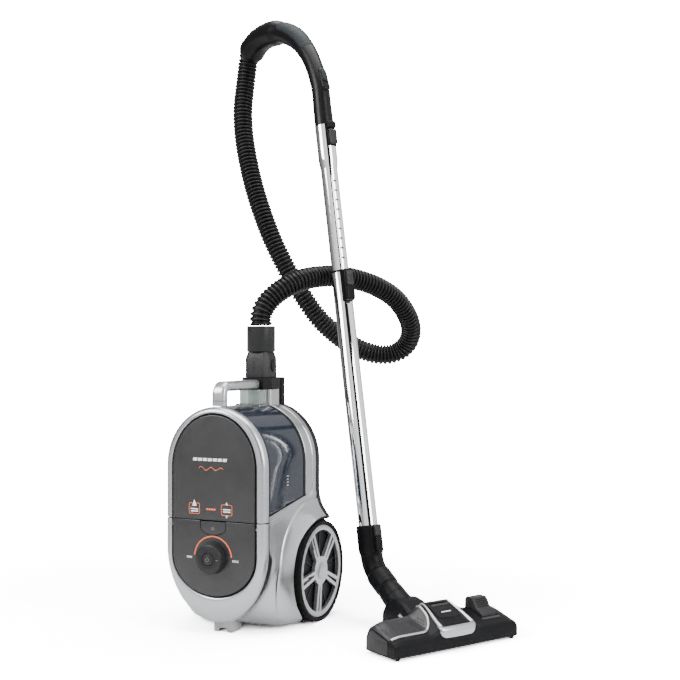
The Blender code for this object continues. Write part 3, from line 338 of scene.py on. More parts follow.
STEEL = steel()
FOAM = filter_foam()
BOARD = circuit_board()
BRISTLE = bristles()
WHITE_INK = print_ink("white_ink", (0.85, 0.85, 0.85))
ORANGE_INK = print_ink("orange_ink", (0.86, 0.16, 0.05))
GREY_INK = print_ink("grey_ink", (0.16, 0.16, 0.165))


# ---- Mesh helpers -------------------------------------------------------------------------------------
def add_object(name, data):
    made = bpy.data.objects.new(name, data)
    bpy.context.scene.collection.objects.link(made)
    return made


def frame_at(origin, x_axis, y_axis, z_axis):
    made = Matrix((x_axis, y_axis, z_axis)).transposed().to_4x4()
    made.translation = origin
    return made


def facing_front(y):
    """A frame on the middle plane, with local X to the right, Y up and Z out of the front."""
    return frame_at((0, y, 0), (1, 0, 0), (0, 0, 1), (0, -1, 0))


FRONT = facing_front(FRONT_Y)


def upright(y):
    return Matrix.Translation((0, y, 0))


def wheel_frame(side):
    """The wheel's centre, with local Z pointing out of the canister."""
    return frame_at((0, WHEEL_Y, WHEEL_Z), (0, side, 0), (0, 0, 1), (side, 0, 0))


def piece(name, mesh, finish, body, *nodes, sharp=38):
    """Links a mesh as a piece of that body, standing for the named CAD nodes."""
    made = add_object(name, mesh)
    mesh.materials.clear()
    mesh.materials.append(finish)
    mesh.shade_smooth()
    mesh.set_sharp_from_angle(angle=math.radians(sharp))
    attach(made, body)
    if nodes:
        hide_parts(*nodes)
    return made


def mesh_of(shape, name):
    bmesh.ops.recalc_face_normals(shape, faces=shape.faces)
    mesh = bpy.data.meshes.new(name)
    shape.to_mesh(mesh)
    shape.free()
    return mesh


def loft(sections, closed=False, capped=True, ring=True):
    """Joins sections of equal point counts. A ring section meets itself; a closed loft meets its start."""
    shape = bmesh.new()
    rows = [[shape.verts.new(point) for point in section] for section in sections]
    pairs = list(zip(rows, rows[1:]))
    if closed:
        pairs.append((rows[-1], rows[0]))
    for one, two in pairs:
        count = len(one)
        for i in range(count if ring else count - 1):
            j = (i + 1) % count
            shape.faces.new((one[i], one[j], two[j], two[i]))
    if capped and ring and not closed:
        shape.faces.new(list(reversed(rows[0])))
        shape.faces.new(rows[-1])
    bmesh.ops.remove_doubles(shape, verts=shape.verts, dist=1e-7)
    return mesh_of(shape, "loft")


def polar(radius, angle, height=0.0):
    return Vector((radius * math.cos(angle), radius * math.sin(angle), height))


def turned(profile, place, steps=64, closed=True):
    """A profile of (radius, height) turned about a frame's Z."""
    sections = []
    for step in range(steps):
        angle = FULL_TURN * step / steps
        sections.append([place @ polar(r, angle, h) for r, h in profile])
    return loft(sections, closed=True, ring=closed)


def offset(outline, distance):
    """The outline drawn in by a distance; it runs anticlockwise."""
    moved = []
    count = len(outline)
    for i, here in enumerate(outline):
        before, after = Vector(outline[i - 1]), Vector(outline[(i + 1) % count])
        here = Vector(here)
        first = (here - before).normalized()
        second = (after - here).normalized()
        inward = Vector((-first.y - second.y, first.x + second.x)).normalized()
        lean = max(0.35, inward.dot(Vector((-first.y, first.x))))
        moved.append(tuple(here + inward * (distance / lean)))
    return moved


def stack(outline, levels, place):
    """An outline lofted through levels of (height, inset), which rounds its edges."""
    sections = []
    for height, inset in levels:
        drawn = offset(outline, inset) if inset else outline
        sections.append([place @ Vector((a, b, height)) for a, b in drawn])
    return loft(sections)


def cushion(outline, bottom, top, edge, place):
    """A flat-topped plate whose upper edge is rounded by a radius."""
    levels = [(bottom, 0)]
    for step in range(5):
        angle = math.pi / 2 * step / 4
        levels.append((top - edge + edge * math.sin(angle), edge * (1 - math.cos(angle))))
    return stack(outline, levels, place)


def evaluated_mesh(made):
    """The mesh that an object's curve or modifiers give."""
    bpy.context.view_layer.update()
    graph = bpy.context.evaluated_depsgraph_get()
    return bpy.data.meshes.new_from_object(made.evaluated_get(graph))


def curve_mesh(curve):
    guide = add_object(curve.name, curve)
    mesh = evaluated_mesh(guide)
    bpy.data.objects.remove(guide, do_unlink=True)
    return mesh


def plate(outlines, low_z, high_z, place):
    """Flat outlines extruded along a frame's Z; outlines after the first are holes."""
    curve = bpy.data.curves.new("plate", "CURVE")
    curve.dimensions = "2D"
    curve.fill_mode = "BOTH"
    curve.extrude = (high_z - low_z) / 2
    for outline in outlines:
        spline = curve.splines.new("POLY")
        spline.points.add(len(outline) - 1)
        for point, (a, b) in zip(spline.points, outline):
            point.co = (a, b, 0, 1)
        spline.use_cyclic_u = True
    mesh = curve_mesh(curve)
    shape = bmesh.new()
    shape.from_mesh(mesh)
    bmesh.ops.remove_doubles(shape, verts=shape.verts, dist=1e-6)
    shape.to_mesh(mesh)
    shape.free()
    mesh.transform(place @ Matrix.Translation((0, 0, (low_z + high_z) / 2)))
    return mesh


def block(low_corner, high_corner, place=Matrix()):
    """A box as a mesh."""
    (x0, y0, z0), (x1, y1, z1) = low_corner, high_corner
    corners = [(x0, y0), (x1, y0), (x1, y1), (x0, y1)]
    return loft([[place @ Vector((x, y, z)) for x, y in corners] for z in (z0, z1)])


def soften(made, width, segments=3, angle=35):
    rounding = made.modifiers.new("rounding", "BEVEL")
    rounding.width = width
    rounding.segments = segments
    rounding.limit_method = "ANGLE"
    rounding.angle_limit = math.radians(angle)
    rounding.harden_normals = False
    return made


def thicken(made, wall):
    shell = made.modifiers.new("wall", "SOLIDIFY")
    shell.thickness = wall
    shell.offset = -1
    return made


def carve(made, *cutters):
    """Cuts meshes out of a piece at once, through its modifiers."""
    helpers = []
    for mesh in cutters:
        cutter = add_object("cutter", mesh)
        helpers.append(cutter)
        change = made.modifiers.new("cut", "BOOLEAN")
        change.operation = "DIFFERENCE"
        change.object = cutter
    result = evaluated_mesh(made)
    made.modifiers.clear()
    made.data = result
    result.set_sharp_from_angle(angle=math.radians(38))
    for cutter in helpers:
        bpy.data.objects.remove(cutter, do_unlink=True)
    return made


def smooth_path(points, spacing):
    """Points about one spacing apart along the smooth curve through the given points."""
    points = [Vector(p) for p in points]
    ends = [2 * points[0] - points[1]] + points + [2 * points[-1] - points[-2]]
    fine = []
    for a, b, c, d in zip(ends, ends[1:], ends[2:], ends[3:]):
        for step in range(12):
            u = step / 12
            fine.append(0.5 * (2 * b + (c - a) * u + (2 * a - 5 * b + 4 * c - d) * u * u
                               + (3 * b - a - 3 * c + d) * u ** 3))
    fine.append(points[-1])
    lengths = [0.0]
    for one, two in zip(fine, fine[1:]):
        lengths.append(lengths[-1] + (two - one).length)
    count = max(2, round(lengths[-1] / spacing))
    path = []
    index = 0
    for step in range(count + 1):
        wanted = lengths[-1] * step / count
        while index < len(fine) - 2 and lengths[index + 1] < wanted:
            index += 1
        share = (wanted - lengths[index]) / (lengths[index + 1] - lengths[index])
        path.append(fine[index].lerp(fine[index + 1], share))
    return path


def path_frames(path, first_side):
    """A frame at each point, local Z along the path, turning no more than the path does."""
    frames = []
    side = first_side
    for i, here in enumerate(path):
        along = (path[min(i + 1, len(path) - 1)] - path[max(i - 1, 0)]).normalized()
        side = (side - side.dot(along) * along).normalized()
        frames.append(frame_at(here, side, along.cross(side), along))
    return frames


def tube(path, radii, first_side, sides=40, capped=True):
    sections = []
    for place, radius in zip(path_frames(path, first_side), radii):
        sections.append([place @ polar(radius, FULL_TURN * i / sides) for i in range(sides)])
    return loft(sections, capped=capped)


def circle(radius, count=48, centre=(0, 0)):
    return [(centre[0] + radius * math.cos(FULL_TURN * i / count),
             centre[1] + radius * math.sin(FULL_TURN * i / count)) for i in range(count)]


def ellipse(half_a, half_b, count=40):
    return [(half_a * math.cos(FULL_TURN * i / count),
             half_b * math.sin(FULL_TURN * i / count)) for i in range(count)]


def rounded_rectangle(half_a, half_b, corner, centre=(0, 0), steps=5):
    points = []
    for quarter, (sign_a, sign_b) in enumerate(((1, 1), (-1, 1), (-1, -1), (1, -1))):
        for step in range(steps + 1):
            angle = math.pi / 2 * (quarter + step / steps)
            points.append((centre[0] + sign_a * (half_a - corner) + corner * math.cos(angle),
                           centre[1] + sign_b * (half_b - corner) + corner * math.sin(angle)))
    return points


def smooth(value, start, end):
    """0 before start, 1 past end, easing between them; start may be the larger."""
    share = min(1.0, max(0.0, (value - start) / (end - start)))
    return share * share * (3 - 2 * share)


def mix(one, two, share):
    return one + (two - one) * share


# ---- Camera, light and floor --------------------------------------------------------------------------
CAMERA_LENS = 60.9          # mm
CAMERA_SENSOR = 36.0        # mm
CAMERA_SHIFT = 0.0044
CAMERA_REACH = 60.0
CAMERA_PLACE = (1.024, -1.754, 0.50)
CAMERA_TURN = 25            # degrees anticlockwise, seen from above, from looking along +Y
FLOOR_HALF = 15
FADE_START = 0.45           # from here outward the floor fades into the white background
FADE_END = 1.5
# The room's grey level round the compass, as (share of the turn, level).
ROOM_LEVELS = [(0.0, 0.90), (0.09, 0.55), (0.16, 0.22), (0.30, 0.08), (0.40, 0.45), (0.55, 0.60),
               (0.64, 1.00), (0.772, 1.00), (0.790, 0.010), (0.918, 0.010), (0.936, 1.00), (1.0, 0.90)]
ROOM_STRENGTH = 1.45
WHITE_TO_CAMERA = 24.0      # radiance that the camera's tone curve shows as white


def add_camera():
    data = bpy.data.cameras.new("camera")
    data.lens = CAMERA_LENS
    data.sensor_width = CAMERA_SENSOR
    data.shift_y = CAMERA_SHIFT
    data.clip_end = CAMERA_REACH
    camera = add_object("camera", data)
    camera.location = CAMERA_PLACE
    camera.rotation_euler = (math.radians(90), 0, math.radians(CAMERA_TURN))
    bpy.context.scene.camera = camera


def add_light(name, place, target, size, power):
    data = bpy.data.lights.new(name, "AREA")
    data.shape = "RECTANGLE"
    data.size, data.size_y = size
    data.energy = power
    light = add_object(name, data)
    light.location = place
    light.rotation_euler = (Vector(target) - Vector(place)).to_track_quat("-Z", "Y").to_euler()


def room_brightness(world):
    """The room's grey level by compass direction: white walls, and a dark strip that bright metal mirrors."""
    place = add_node(world, "TexCoord")
    split = add_node(world, "SeparateXYZ")
    link(world, place.outputs["Generated"], split.inputs[0])
    turn = add_node(world, "Math")
    turn.operation = "ARCTAN2"
    link(world, split.outputs["X"], turn.inputs[0])
    link(world, split.outputs["Y"], turn.inputs[1])
    spread = add_node(world, "MapRange", From_Min=-math.pi, From_Max=math.pi)
    link(world, turn.outputs[0], spread.inputs["Value"])
    room = add_node(world, "ValToRGB")
    link(world, spread.outputs["Result"], room.inputs["Fac"])
    ramp = room.color_ramp
    while len(ramp.elements) < len(ROOM_LEVELS):
        ramp.elements.new(0.5)
    for element, (position, level) in zip(ramp.elements, ROOM_LEVELS):
        element.position = position
        element.color = (level, level, level * 1.01, 1.0)
    return room.outputs["Color"]


def add_world():
    """A studio whose walls light and mirror, and which the camera sees as plain white."""
    world = bpy.data.worlds.new("studio")
    bpy.context.scene.world = world
    world.use_nodes = True
    world.node_tree.nodes.clear()
    mirrored = add_node(world, "Background", Strength=ROOM_STRENGTH)
    link(world, room_brightness(world), mirrored.inputs["Color"])
    plain = add_node(world, "Background", Color=(1, 1, 1, 1), Strength=WHITE_TO_CAMERA)
    rays = add_node(world, "LightPath")
    blend = add_node(world, "MixShader")
    link(world, rays.outputs["Is Camera Ray"], blend.inputs["Fac"])
    link(world, mirrored.outputs[0], blend.inputs[1])
    link(world, plain.outputs[0], blend.inputs[2])
    output = add_node(world, "OutputWorld")
    link(world, blend.outputs[0], output.inputs["Surface"])


def floor_paper():
    """White paper, exposed so that it reads as white where it is seen directly."""
    made = bpy.data.materials.new("floor_paper")
    made.use_nodes = True
    nodes = made.node_tree.nodes
    nodes.remove(nodes["Principled BSDF"])
    rays = add_node(made, "LightPath")
    paper = add_node(made, "BsdfDiffuse", Color=(0.80, 0.80, 0.80, 1.0))
    exposed = add_node(made, "BsdfDiffuse", Color=(6.0, 6.0, 6.0, 1.0))
    seen = add_node(made, "MixShader")
    link(made, rays.outputs["Is Camera Ray"], seen.inputs["Fac"])
    link(made, paper.outputs[0], seen.inputs[1])
    link(made, exposed.outputs[0], seen.inputs[2])
    far_strength = add_node(made, "MapRange", To_Min=1.0, To_Max=WHITE_TO_CAMERA)
    link(made, rays.outputs["Is Camera Ray"], far_strength.inputs["Value"])
    glow = add_node(made, "Emission")
    link(made, far_strength.outputs["Result"], glow.inputs["Strength"])
    place = add_node(made, "TexCoord")
    distance = add_node(made, "VectorMath")
    distance.operation = "LENGTH"
    link(made, place.outputs["Object"], distance.inputs[0])
    fade = add_node(made, "MapRange", From_Min=FADE_START, From_Max=FADE_END)
    fade.interpolation_type = "SMOOTHSTEP"
    link(made, distance.outputs["Value"], fade.inputs["Value"])
    blend = add_node(made, "MixShader")
    link(made, fade.outputs["Result"], blend.inputs["Fac"])
    link(made, seen.outputs[0], blend.inputs[1])
    link(made, glow.outputs[0], blend.inputs[2])
    link(made, blend.outputs[0], nodes["Material Output"].inputs["Surface"])
    return made


def add_floor():
    mesh = block((-FLOOR_HALF, -FLOOR_HALF, -0.02), (FLOOR_HALF, FLOOR_HALF, 0))
    mesh.materials.append(floor_paper())
    add_object("floor", mesh)


def build_studio():
    add_camera()
    add_world()
    add_floor()
    add_light("key", (-1.5, -1.9, 2.0), (0.0, 0.0, 0.3), (1.4, 1.4), 95)
    add_light("right_fill", (2.3, -0.6, 1.3), (0.1, 0.0, 0.3), (0.9, 1.8), 60)
    add_light("top", (0.1, 0.2, 2.6), (0.1, 0.1, 0.0), (2.0, 2.0), 85)


# ---- Hose ---------------------------------------------------------------------------------------------
def hose_profile(phase):
    """The corrugation's radius over one pitch: a round ridge and a narrower root."""
    ridge = math.sin(math.pi * phase / 0.78) ** 0.55 if phase < 0.78 else 0.0
    return HOSE_RADIUS - 0.0034 + 0.0038 * ridge


def build_hose():
    path = smooth_path(HOSE_ROUTE + [HOSE_TIP], HOSE_PITCH / HOSE_RINGS)
    radii = [hose_profile((i % HOSE_RINGS) / HOSE_RINGS) for i in range(len(path))]
    made = piece("hose", tube(path, radii, Vector((1, 0, 0)), sides=28), HOSE, "canister", "hose_tube",
                 sharp=60)


# ---- Canister outlines --------------------------------------------------------------------------------
def arch_outline(half_width, top, rise, bottom, drop, steps=40):
    """A straight-sided outline with half-ellipse ends, as (x, z), anticlockwise from the right."""
    upper = [(half_width * math.cos(math.pi * i / steps),
              top - rise + rise * math.sin(math.pi * i / steps)) for i in range(steps + 1)]
    lower = [(-half_width * math.cos(math.pi * i / steps),
              bottom + drop - drop * math.sin(math.pi * i / steps)) for i in range(steps + 1)]
    return upper + lower


def panel_outline(inset=0.0):
    return arch_outline(PANEL_HALF_WIDTH - inset, PANEL_TOP_Z - inset, PANEL_TOP_RISE - inset,
                        PANEL_BOTTOM_Z + inset, PANEL_BOTTOM_DROP - inset)


def front_outline(inset=0.0):
    return arch_outline(HALF_WIDTH - inset, TOP_Z - inset, TOP_RISE - inset, BOTTOM_Z + inset,
                        SIDE_FOOT_Z - BOTTOM_Z - inset)


def split_outline(outline, above):
    """The part of an outline on one side of the seam, closed along the seam."""
    middle = len(outline) // 2
    if above:
        return outline[:middle] + [(outline[middle - 1][0], SEAM_Z), (outline[0][0], SEAM_Z)]
    return outline[middle:] + [(outline[-1][0], SEAM_Z), (outline[middle][0], SEAM_Z)]


def deck_z(t):
    return DECK_FRONT_Z + DECK_SLOPE * (t - RIM_BACK_T)


def upper_half_path(inset, foot_z, steps=56):
    """Points and outward directions from the right foot over the top to the left foot."""
    half, top, rise = HALF_WIDTH - inset, TOP_Z - inset, TOP_RISE - inset
    straight = [(half, foot_z + (top - rise - foot_z) * i / 8) for i in range(8)]
    places = list(straight)
    ways = [(1.0, 0.0)] * 8
    for i in range(steps + 1):
        angle = math.pi * i / steps
        places.append((half * math.cos(angle), top - rise + rise * math.sin(angle)))
        way = Vector((math.cos(angle) / half, math.sin(angle) / rise)).normalized()
        ways.append(tuple(way))
    places += [(-x, z) for x, z in reversed(straight)]
    ways += [(-1.0, 0.0)] * 8
    return places, ways


def arch_strip(profile, foot_z):
    """A closed profile of (t, inset) carried over the top from one foot to the other."""
    places, ways = upper_half_path(0.0, foot_z)
    sections = []
    for (x, z), (way_x, way_z) in zip(places, ways):
        sections.append([(x - way_x * inset, FRONT_Y + t, z - way_z * inset) for t, inset in profile])
    return loft(sections)


# ---- Canister shell -----------------------------------------------------------------------------------
def skirt_half_width(t, z):
    """Half the lower shell's width where its sides are straight, with the swell before the wheels."""
    swell = smooth(t, 0.015, 0.085) * smooth(z, 0.150, 0.085)
    foot = smooth(t, 0.070, 0.115) * smooth(z, 0.085, 0.025)
    return HALF_WIDTH + SKIRT_FLARE * swell + SKIRT_FOOT * foot


def groove_t(z):
    """How far back the lower shell starts: a groove that widens beside the lower panel."""
    wide = smooth(z, 0.152, 0.130) * (1 - 0.78 * smooth(z, 0.100, 0.040))
    return 0.0050 + 0.0125 * wide


def skirt_bottom(t):
    return mix(BOTTOM_Z - 0.0015, SKIRT_BOTTOM_Z, smooth(t, 0.012, 0.085))


def skirt_power(t):
    """How round the lower shell's bottom corners are: an ellipse in front, nearly square by the wheels."""
    return 2 / mix(2.0, 9.0, smooth(t, 0.010, 0.105))


def skirt_point(share, turn):
    """A point of the lower shell: share runs rearward, turn from the deck (0) to the middle below (1)."""
    straight = 0.28
    t = mix(0.0044, SHELL_END_T, share)
    top = deck_z(t) if t < WINDOW_END_T else mix(deck_z(t), ARCH_TOP_Z, smooth(t, WINDOW_END_T, 0.145))
    if turn <= straight:
        z = mix(top, SIDE_FOOT_Z, turn / straight)
        t = mix(groove_t(z), SHELL_END_T, share)
        return Vector((skirt_half_width(t, z), FRONT_Y + t, z))
    angle = math.pi / 2 * (turn - straight) / (1 - straight)
    power = skirt_power(t)
    bottom = skirt_bottom(t)
    z = SIDE_FOOT_Z - (SIDE_FOOT_Z - bottom) * math.sin(angle) ** power
    t = mix(groove_t(z), SHELL_END_T, share)
    return Vector((skirt_half_width(t, z) * max(0.0, math.cos(angle)) ** power, FRONT_Y + t, z))


def build_lower_shell():
    stations, turns = 46, 44
    sections = []
    for i in range(stations + 1):
        right = [skirt_point(i / stations, j / turns) for j in range(turns + 1)]
        left = [Vector((-p.x, p.y, p.z)) for p in reversed(right[:-1])]
        sections.append(right + left)
    mesh = loft(sections, ring=False)
    if mesh.polygons[0].normal.x < 0:
        mesh.flip_normals()
    shell = piece("lower_shell", mesh, SILVER, "canister", "body_shell", sharp=50)
    thicken(shell, SHELL_WALL)
    openings = []
    for side in (-1, 1):
        openings.append(turned([(0, 0.074), (LIP_RADIUS, 0.074), (LIP_RADIUS, 0.16), (0, 0.16)],
                               wheel_frame(side), steps=96, closed=False))
    carve(shell, *openings)


def skirt_side(t, z):
    """The lower shell's half width at a depth and height, its rounded bottom included."""
    width = skirt_half_width(t, z)
    if z >= SIDE_FOOT_Z:
        return width
    power = skirt_power(t)
    drop = min(1.0, (SIDE_FOOT_Z - z) / (SIDE_FOOT_Z - skirt_bottom(t)))
    return width * max(0.0, 1 - drop ** (2 / power)) ** (power / 2)


def arch_lip_x(degrees):
    return mix(LIP_X, FLARE_X, smooth(degrees, 150, 96))


def arch_sheet_point(side, u, v):
    """The raised band round a wheel: u from its outer crease to the lip, v from the rear end forward."""
    lip_radius = mix(0.0974, LIP_RADIUS, smooth(v, 0.0, 0.4))
    radius = mix(CREASE_RADIUS, lip_radius, u)
    first = math.degrees(math.acos((SHELL_END_T - WHEEL_T) / radius))
    degrees = mix(first, 208, v)
    angle = math.radians(degrees)
    t = WHEEL_T + radius * math.cos(angle)
    z = WHEEL_Z + radius * math.sin(angle)
    crest = 1 - smooth(degrees, 160, 200)
    base = skirt_side(t, z)
    rise = 0.0022 * crest * math.sin(math.pi / 2 * min(1.0, u / 0.12)) - 0.0006 * (1 - min(1.0, u / 0.03))
    edge = skirt_side(WHEEL_T + lip_radius * math.cos(angle), WHEEL_Z + lip_radius * math.sin(angle))
    lift = max(0.0, arch_lip_x(degrees) - edge - 0.0022 * crest)
    x = base + rise + lift * u ** 1.7
    return Vector((side * x, FRONT_Y + t, z))


def build_wheel_arch(side, word):
    across = [0.0, 0.03, 0.06, 0.09, 0.12, 0.18, 0.26, 0.35, 0.45, 0.55, 0.65, 0.75, 0.85, 0.93, 0.98, 1.0]
    steps = 64
    sections = []
    for i in range(steps + 1):
        row = [arch_sheet_point(side, u, i / steps) for u in across]
        lip = row[-1]
        row.append(lip - Vector((side * 0.0012, 0, 0)))
        row.append(Vector((side * (TYRE_INNER_X - 0.002), lip.y, lip.z)))
        sections.append(row)
    piece("wheel_arch_" + word, loft(sections, ring=False), SILVER, "canister", sharp=50)


def build_wheel_liner(side, word):
    """The dark well that the wheel turns in."""
    profile = [(0.012, 0.0955), (0.060, 0.0955), (0.0935, 0.0965), (LIP_RADIUS - 0.0008, 0.0985),
               (LIP_RADIUS - 0.0008, 0.1045), (LIP_RADIUS + 0.0006, 0.1045), (LIP_RADIUS + 0.0006, 0.0940),
               (0.012, 0.0940)]
    liner = piece("wheel_liner_" + word, turned(profile, wheel_frame(side), steps=96), BLACK, "canister")
    carve(liner, half_space(-0.2, SKIRT_BOTTOM_Z + 0.001))
    sections = []
    for step in range(41):
        degrees = mix(74, 196, step / 40)
        angle = math.radians(degrees)
        edge = arch_lip_x(degrees) - 0.0010
        ring = []
        for radius, x in ((0.0933, 0.100), (0.0933, edge), (0.0964, edge), (0.0964, 0.100)):
            ring.append((side * x, WHEEL_Y + radius * math.cos(angle), WHEEL_Z + radius * math.sin(angle)))
        sections.append(ring)
    piece("arch_liner_" + word, loft(sections), BLACK, "canister")


def build_rear_arch():
    """The silver arch behind the window, with a shadow line before its narrow rear rib."""
    profile = [(0.1416, 0.0060), (0.1416, 0.0010), (0.1426, 0.0), (0.1655, 0.0), (0.1668, 0.0013),
               (0.1690, 0.0015), (0.1702, 0.0004), (0.1815, 0.0), (0.1830, 0.0010), (0.1830, 0.0060)]
    piece("rear_arch", arch_strip(profile, ARCH_TOP_Z), SILVER, "canister")
    inner = [(0.1430, 0.0062), (0.1800, 0.0062), (0.1800, 0.0085), (0.1430, 0.0085)]
    piece("rear_arch_lining", arch_strip(inner, ARCH_TOP_Z), BLACK, "canister")
    top = upper_half_path(0.0062, 0.230)[0]
    bulkhead = stack(top, [(-0.1462, 0), (-0.1436, 0)], FRONT)
    piece("bulkhead", bulkhead, DARK_GREY, "canister")


def build_sill():
    """A fine moulded line under the window that turns up into the rear arch."""
    for side, word in SIDES:
        route = [(0.006, deck_z(0.006) - 0.0100), (0.040, deck_z(0.040) - 0.0100),
                 (0.090, deck_z(0.090) - 0.0098), (0.135, deck_z(0.135) - 0.0090),
                 (0.156, deck_z(0.156) - 0.0040), (0.1665, 0.2335), (0.1705, 0.2480)]
        for name, shift, radius in (("upper", 0.0, 0.0011), ("lower", -0.0048, 0.0008)):
            points = [Vector((side * (HALF_WIDTH + 0.0001), FRONT_Y + t, z + shift)) for t, z in route]
            path = smooth_path(points, 0.004)
            mesh = tube(path, [radius] * len(path), Vector((0, 0, 1)), sides=12)
            piece(f"sill_line_{name}_{word}", mesh, SILVER, "canister")


def build_deck():
    near, far = 0.006, WINDOW_END_T + 0.002
    outline = [(-0.0965, near), (0.0965, near), (0.0965, far), (-0.0965, far)]
    place = Matrix.Translation((0, FRONT_Y, 0))
    slope = Matrix.Identity(4)
    slope[2][1] = DECK_SLOPE
    slope[2][3] = DECK_FRONT_Z - DECK_SLOPE * RIM_BACK_T
    mesh = plate([outline, circle(0.030, 48, (0, 0.070))], -0.0028, -0.0004, place @ slope)
    piece("deck", mesh, DARK_GREY, "canister")
    ring = turned([(0.0335, 0.2125), (0.0335, 0.2155), (0.0300, 0.2165), (0.0300, 0.2105)],
                  upright(FRONT_Y + 0.070))
    piece("outlet_ring", ring, BLACK, "canister")


def build_column():
    """The silver column that carries the hose inlet, with its black rear strip."""
    outline = rounded_rectangle(0.0250, 0.0190, 0.007, (0, FRONT_Y + 0.1640), 8)
    piece("inlet_column", stack(outline, [(TOP_Z - 0.016, 0), (COLUMN_TOP_Z - 0.0008, 0),
                                          (COLUMN_TOP_Z, 0.0008)], Matrix()), SILVER, "canister")
    strip = rounded_rectangle(0.0262, 0.0085, 0.004, (0, FRONT_Y + 0.1915), 6)
    piece("column_strip", stack(strip, [(TOP_Z - 0.022, 0), (COLLAR_TOP_Z - 0.0015, 0),
                                        (COLLAR_TOP_Z - 0.0003, 0.0015)], Matrix()), BLACK, "canister")


def flare_edge():
    """The outer edge of the arch at its rear end, from the crease down to the lip, as (x, z)."""
    points = [arch_sheet_point(1, u / 10, 0.0) for u in range(1, 11)]
    return [(p.x, p.z) for p in points]


def build_back():
    """The black back shell, which follows the silver shell's rear edge and its flares."""
    upper = upper_half_path(0.0, 0.226)[0]
    flare = flare_edge()
    flare_left = [(-x, z) for x, z in flare]
    corner_x, corner_z = flare[-1]
    lower_right = [(corner_x, corner_z - 0.0045), (0.0968, corner_z - 0.0050), (0.0966, 0.032),
                   (0.0925, 0.016), (0.082, 0.0075), (0.070, 0.0050)]
    lower_left = [(-x, z) for x, z in lower_right]
    outline = list(reversed(lower_right)) + list(reversed(flare)) + upper
    outline += flare_left + lower_left
    start = SHELL_END_T + 0.0004
    levels = [(-BACK_END_T, 0.0052), (-BACK_END_T + 0.0006, 0.0030), (-BACK_END_T + 0.0018, 0.0013),
              (-BACK_END_T + 0.0040, 0.0003), (-start - 0.0010, 0.0), (-start, 0.0010)]
    piece("back", stack(outline, levels, FRONT), BLACK, "canister", "back_shell")
    panel = rounded_rectangle(0.070, 0.062, 0.016, (0, 0.120), 8)
    back = frame_at((0, FRONT_Y + BACK_END_T, 0), (-1, 0, 0), (0, 0, 1), (0, 1, 0))
    piece("service_cover", cushion(panel, -0.001, 0.0018, 0.0012, back), DARK_GREY, "canister")
    for number, (x, z) in enumerate(((-0.060, 0.072), (0.060, 0.072), (-0.060, 0.168), (0.060, 0.168))):
        screw = [(0, 0.0028), (0.0022, 0.0026), (0.0030, 0.0018), (0.0030, 0.0), (0, 0.0)]
        mesh = turned(screw, back @ Matrix.Translation((x, z, 0)), 24, closed=False)
        piece(f"screw_{number}", mesh, STEEL, "canister")


# ---- Front --------------------------------------------------------------------------------------------
def rim_sections():
    """The silver rim from the panel's gap round to the side, as closed sections."""
    inner, outer = panel_outline(-PANEL_GAP), front_outline()
    profile = [(0.0, RIM_BACK_T), (0.0, -0.0100), (0.012, -0.0118), (0.045, -0.0130), (0.10, -0.0135)]
    for step in range(1, 13):
        angle = math.pi / 2 * step / 12
        profile.append((0.10 + 0.90 * math.sin(angle) ** 0.9, -RIM_PROUD * math.cos(angle) ** 0.85))
    profile.append((1.0, RIM_BACK_T))
    sections = []
    for share, t in profile:
        sections.append([(mix(a[0], b[0], share), FRONT_Y + t, mix(a[1], b[1], share))
                         for a, b in zip(inner, outer)])
    return sections


def half_space(low_z, high_z):
    return block((-0.3, -0.3, low_z), (0.3, 0.3, high_z))


def build_rims():
    gap = 0.0009
    rim = piece("rim_upper", loft(rim_sections(), closed=True), SILVER, "container", "container_rim")
    carve(rim, half_space(-0.2, SEAM_Z + gap))
    soften(rim, 0.0007, 2, 50)
    bezel = piece("bezel", loft(rim_sections(), closed=True), SILVER, "canister", "lower_bezel")
    carve(bezel, half_space(SEAM_Z - gap, 0.8))
    soften(bezel, 0.0009, 2, 50)
    upper = split_outline(panel_outline(-PANEL_GAP - 0.0006), True)
    piece("gap_upper", stack(upper, [(-0.0025, 0), (0.0085, 0)], FRONT), BLACK, "container")
    lower = split_outline(panel_outline(-PANEL_GAP - 0.0006), False)
    piece("gap_lower", stack(lower, [(-0.0025, 0), (0.0085, 0)], FRONT), BLACK, "canister")
    ring = front_outline(0.0018)
    profile = [(0.0, 0.0), (0.0, 0.022), (0.0016, 0.022), (0.0016, 0.0)]
    sections = []
    for inset, t in profile:
        sections.append([(x * (1 - inset / HALF_WIDTH), FRONT_Y + t, z) for x, z in ring])
    backing = piece("groove_backing", loft(sections, closed=True), BLACK, "canister")
    carve(backing, half_space(SEAM_Z + 0.006, 0.8))


def build_panels():
    edge = 0.0016
    upper = split_outline(panel_outline(), True)
    piece("panel_upper", cushion(upper, 0.003, PANEL_PROUD, edge, FRONT @ Matrix.Translation((0, 0.0004, 0))),
          PANEL, "container", "container_panel")
    lower = split_outline(panel_outline(), False)
    made = piece("panel_lower", cushion(lower, 0.003, PANEL_PROUD, edge,
                                        FRONT @ Matrix.Translation((0, -0.0004, 0))),
                 PANEL, "canister", "lower_front_panel")
    pocket = stack(release_outline(-0.0006), [(PANEL_PROUD - 0.0075, 0), (PANEL_PROUD + 0.004, 0)], FRONT)
    carve(made, pocket)
    for side, word in SIDES:
        x = side * (PANEL_HALF_WIDTH + 0.0010)
        nub = turned([(0, 0.0028), (0.0016, 0.0022), (0.0024, 0.0), (0, 0.0)],
                     FRONT @ Matrix.Translation((x, SEAM_Z - 0.011, 0.0083)), 20, closed=False)
        piece("gap_nub_" + word, nub, PALE_GREY, "canister")


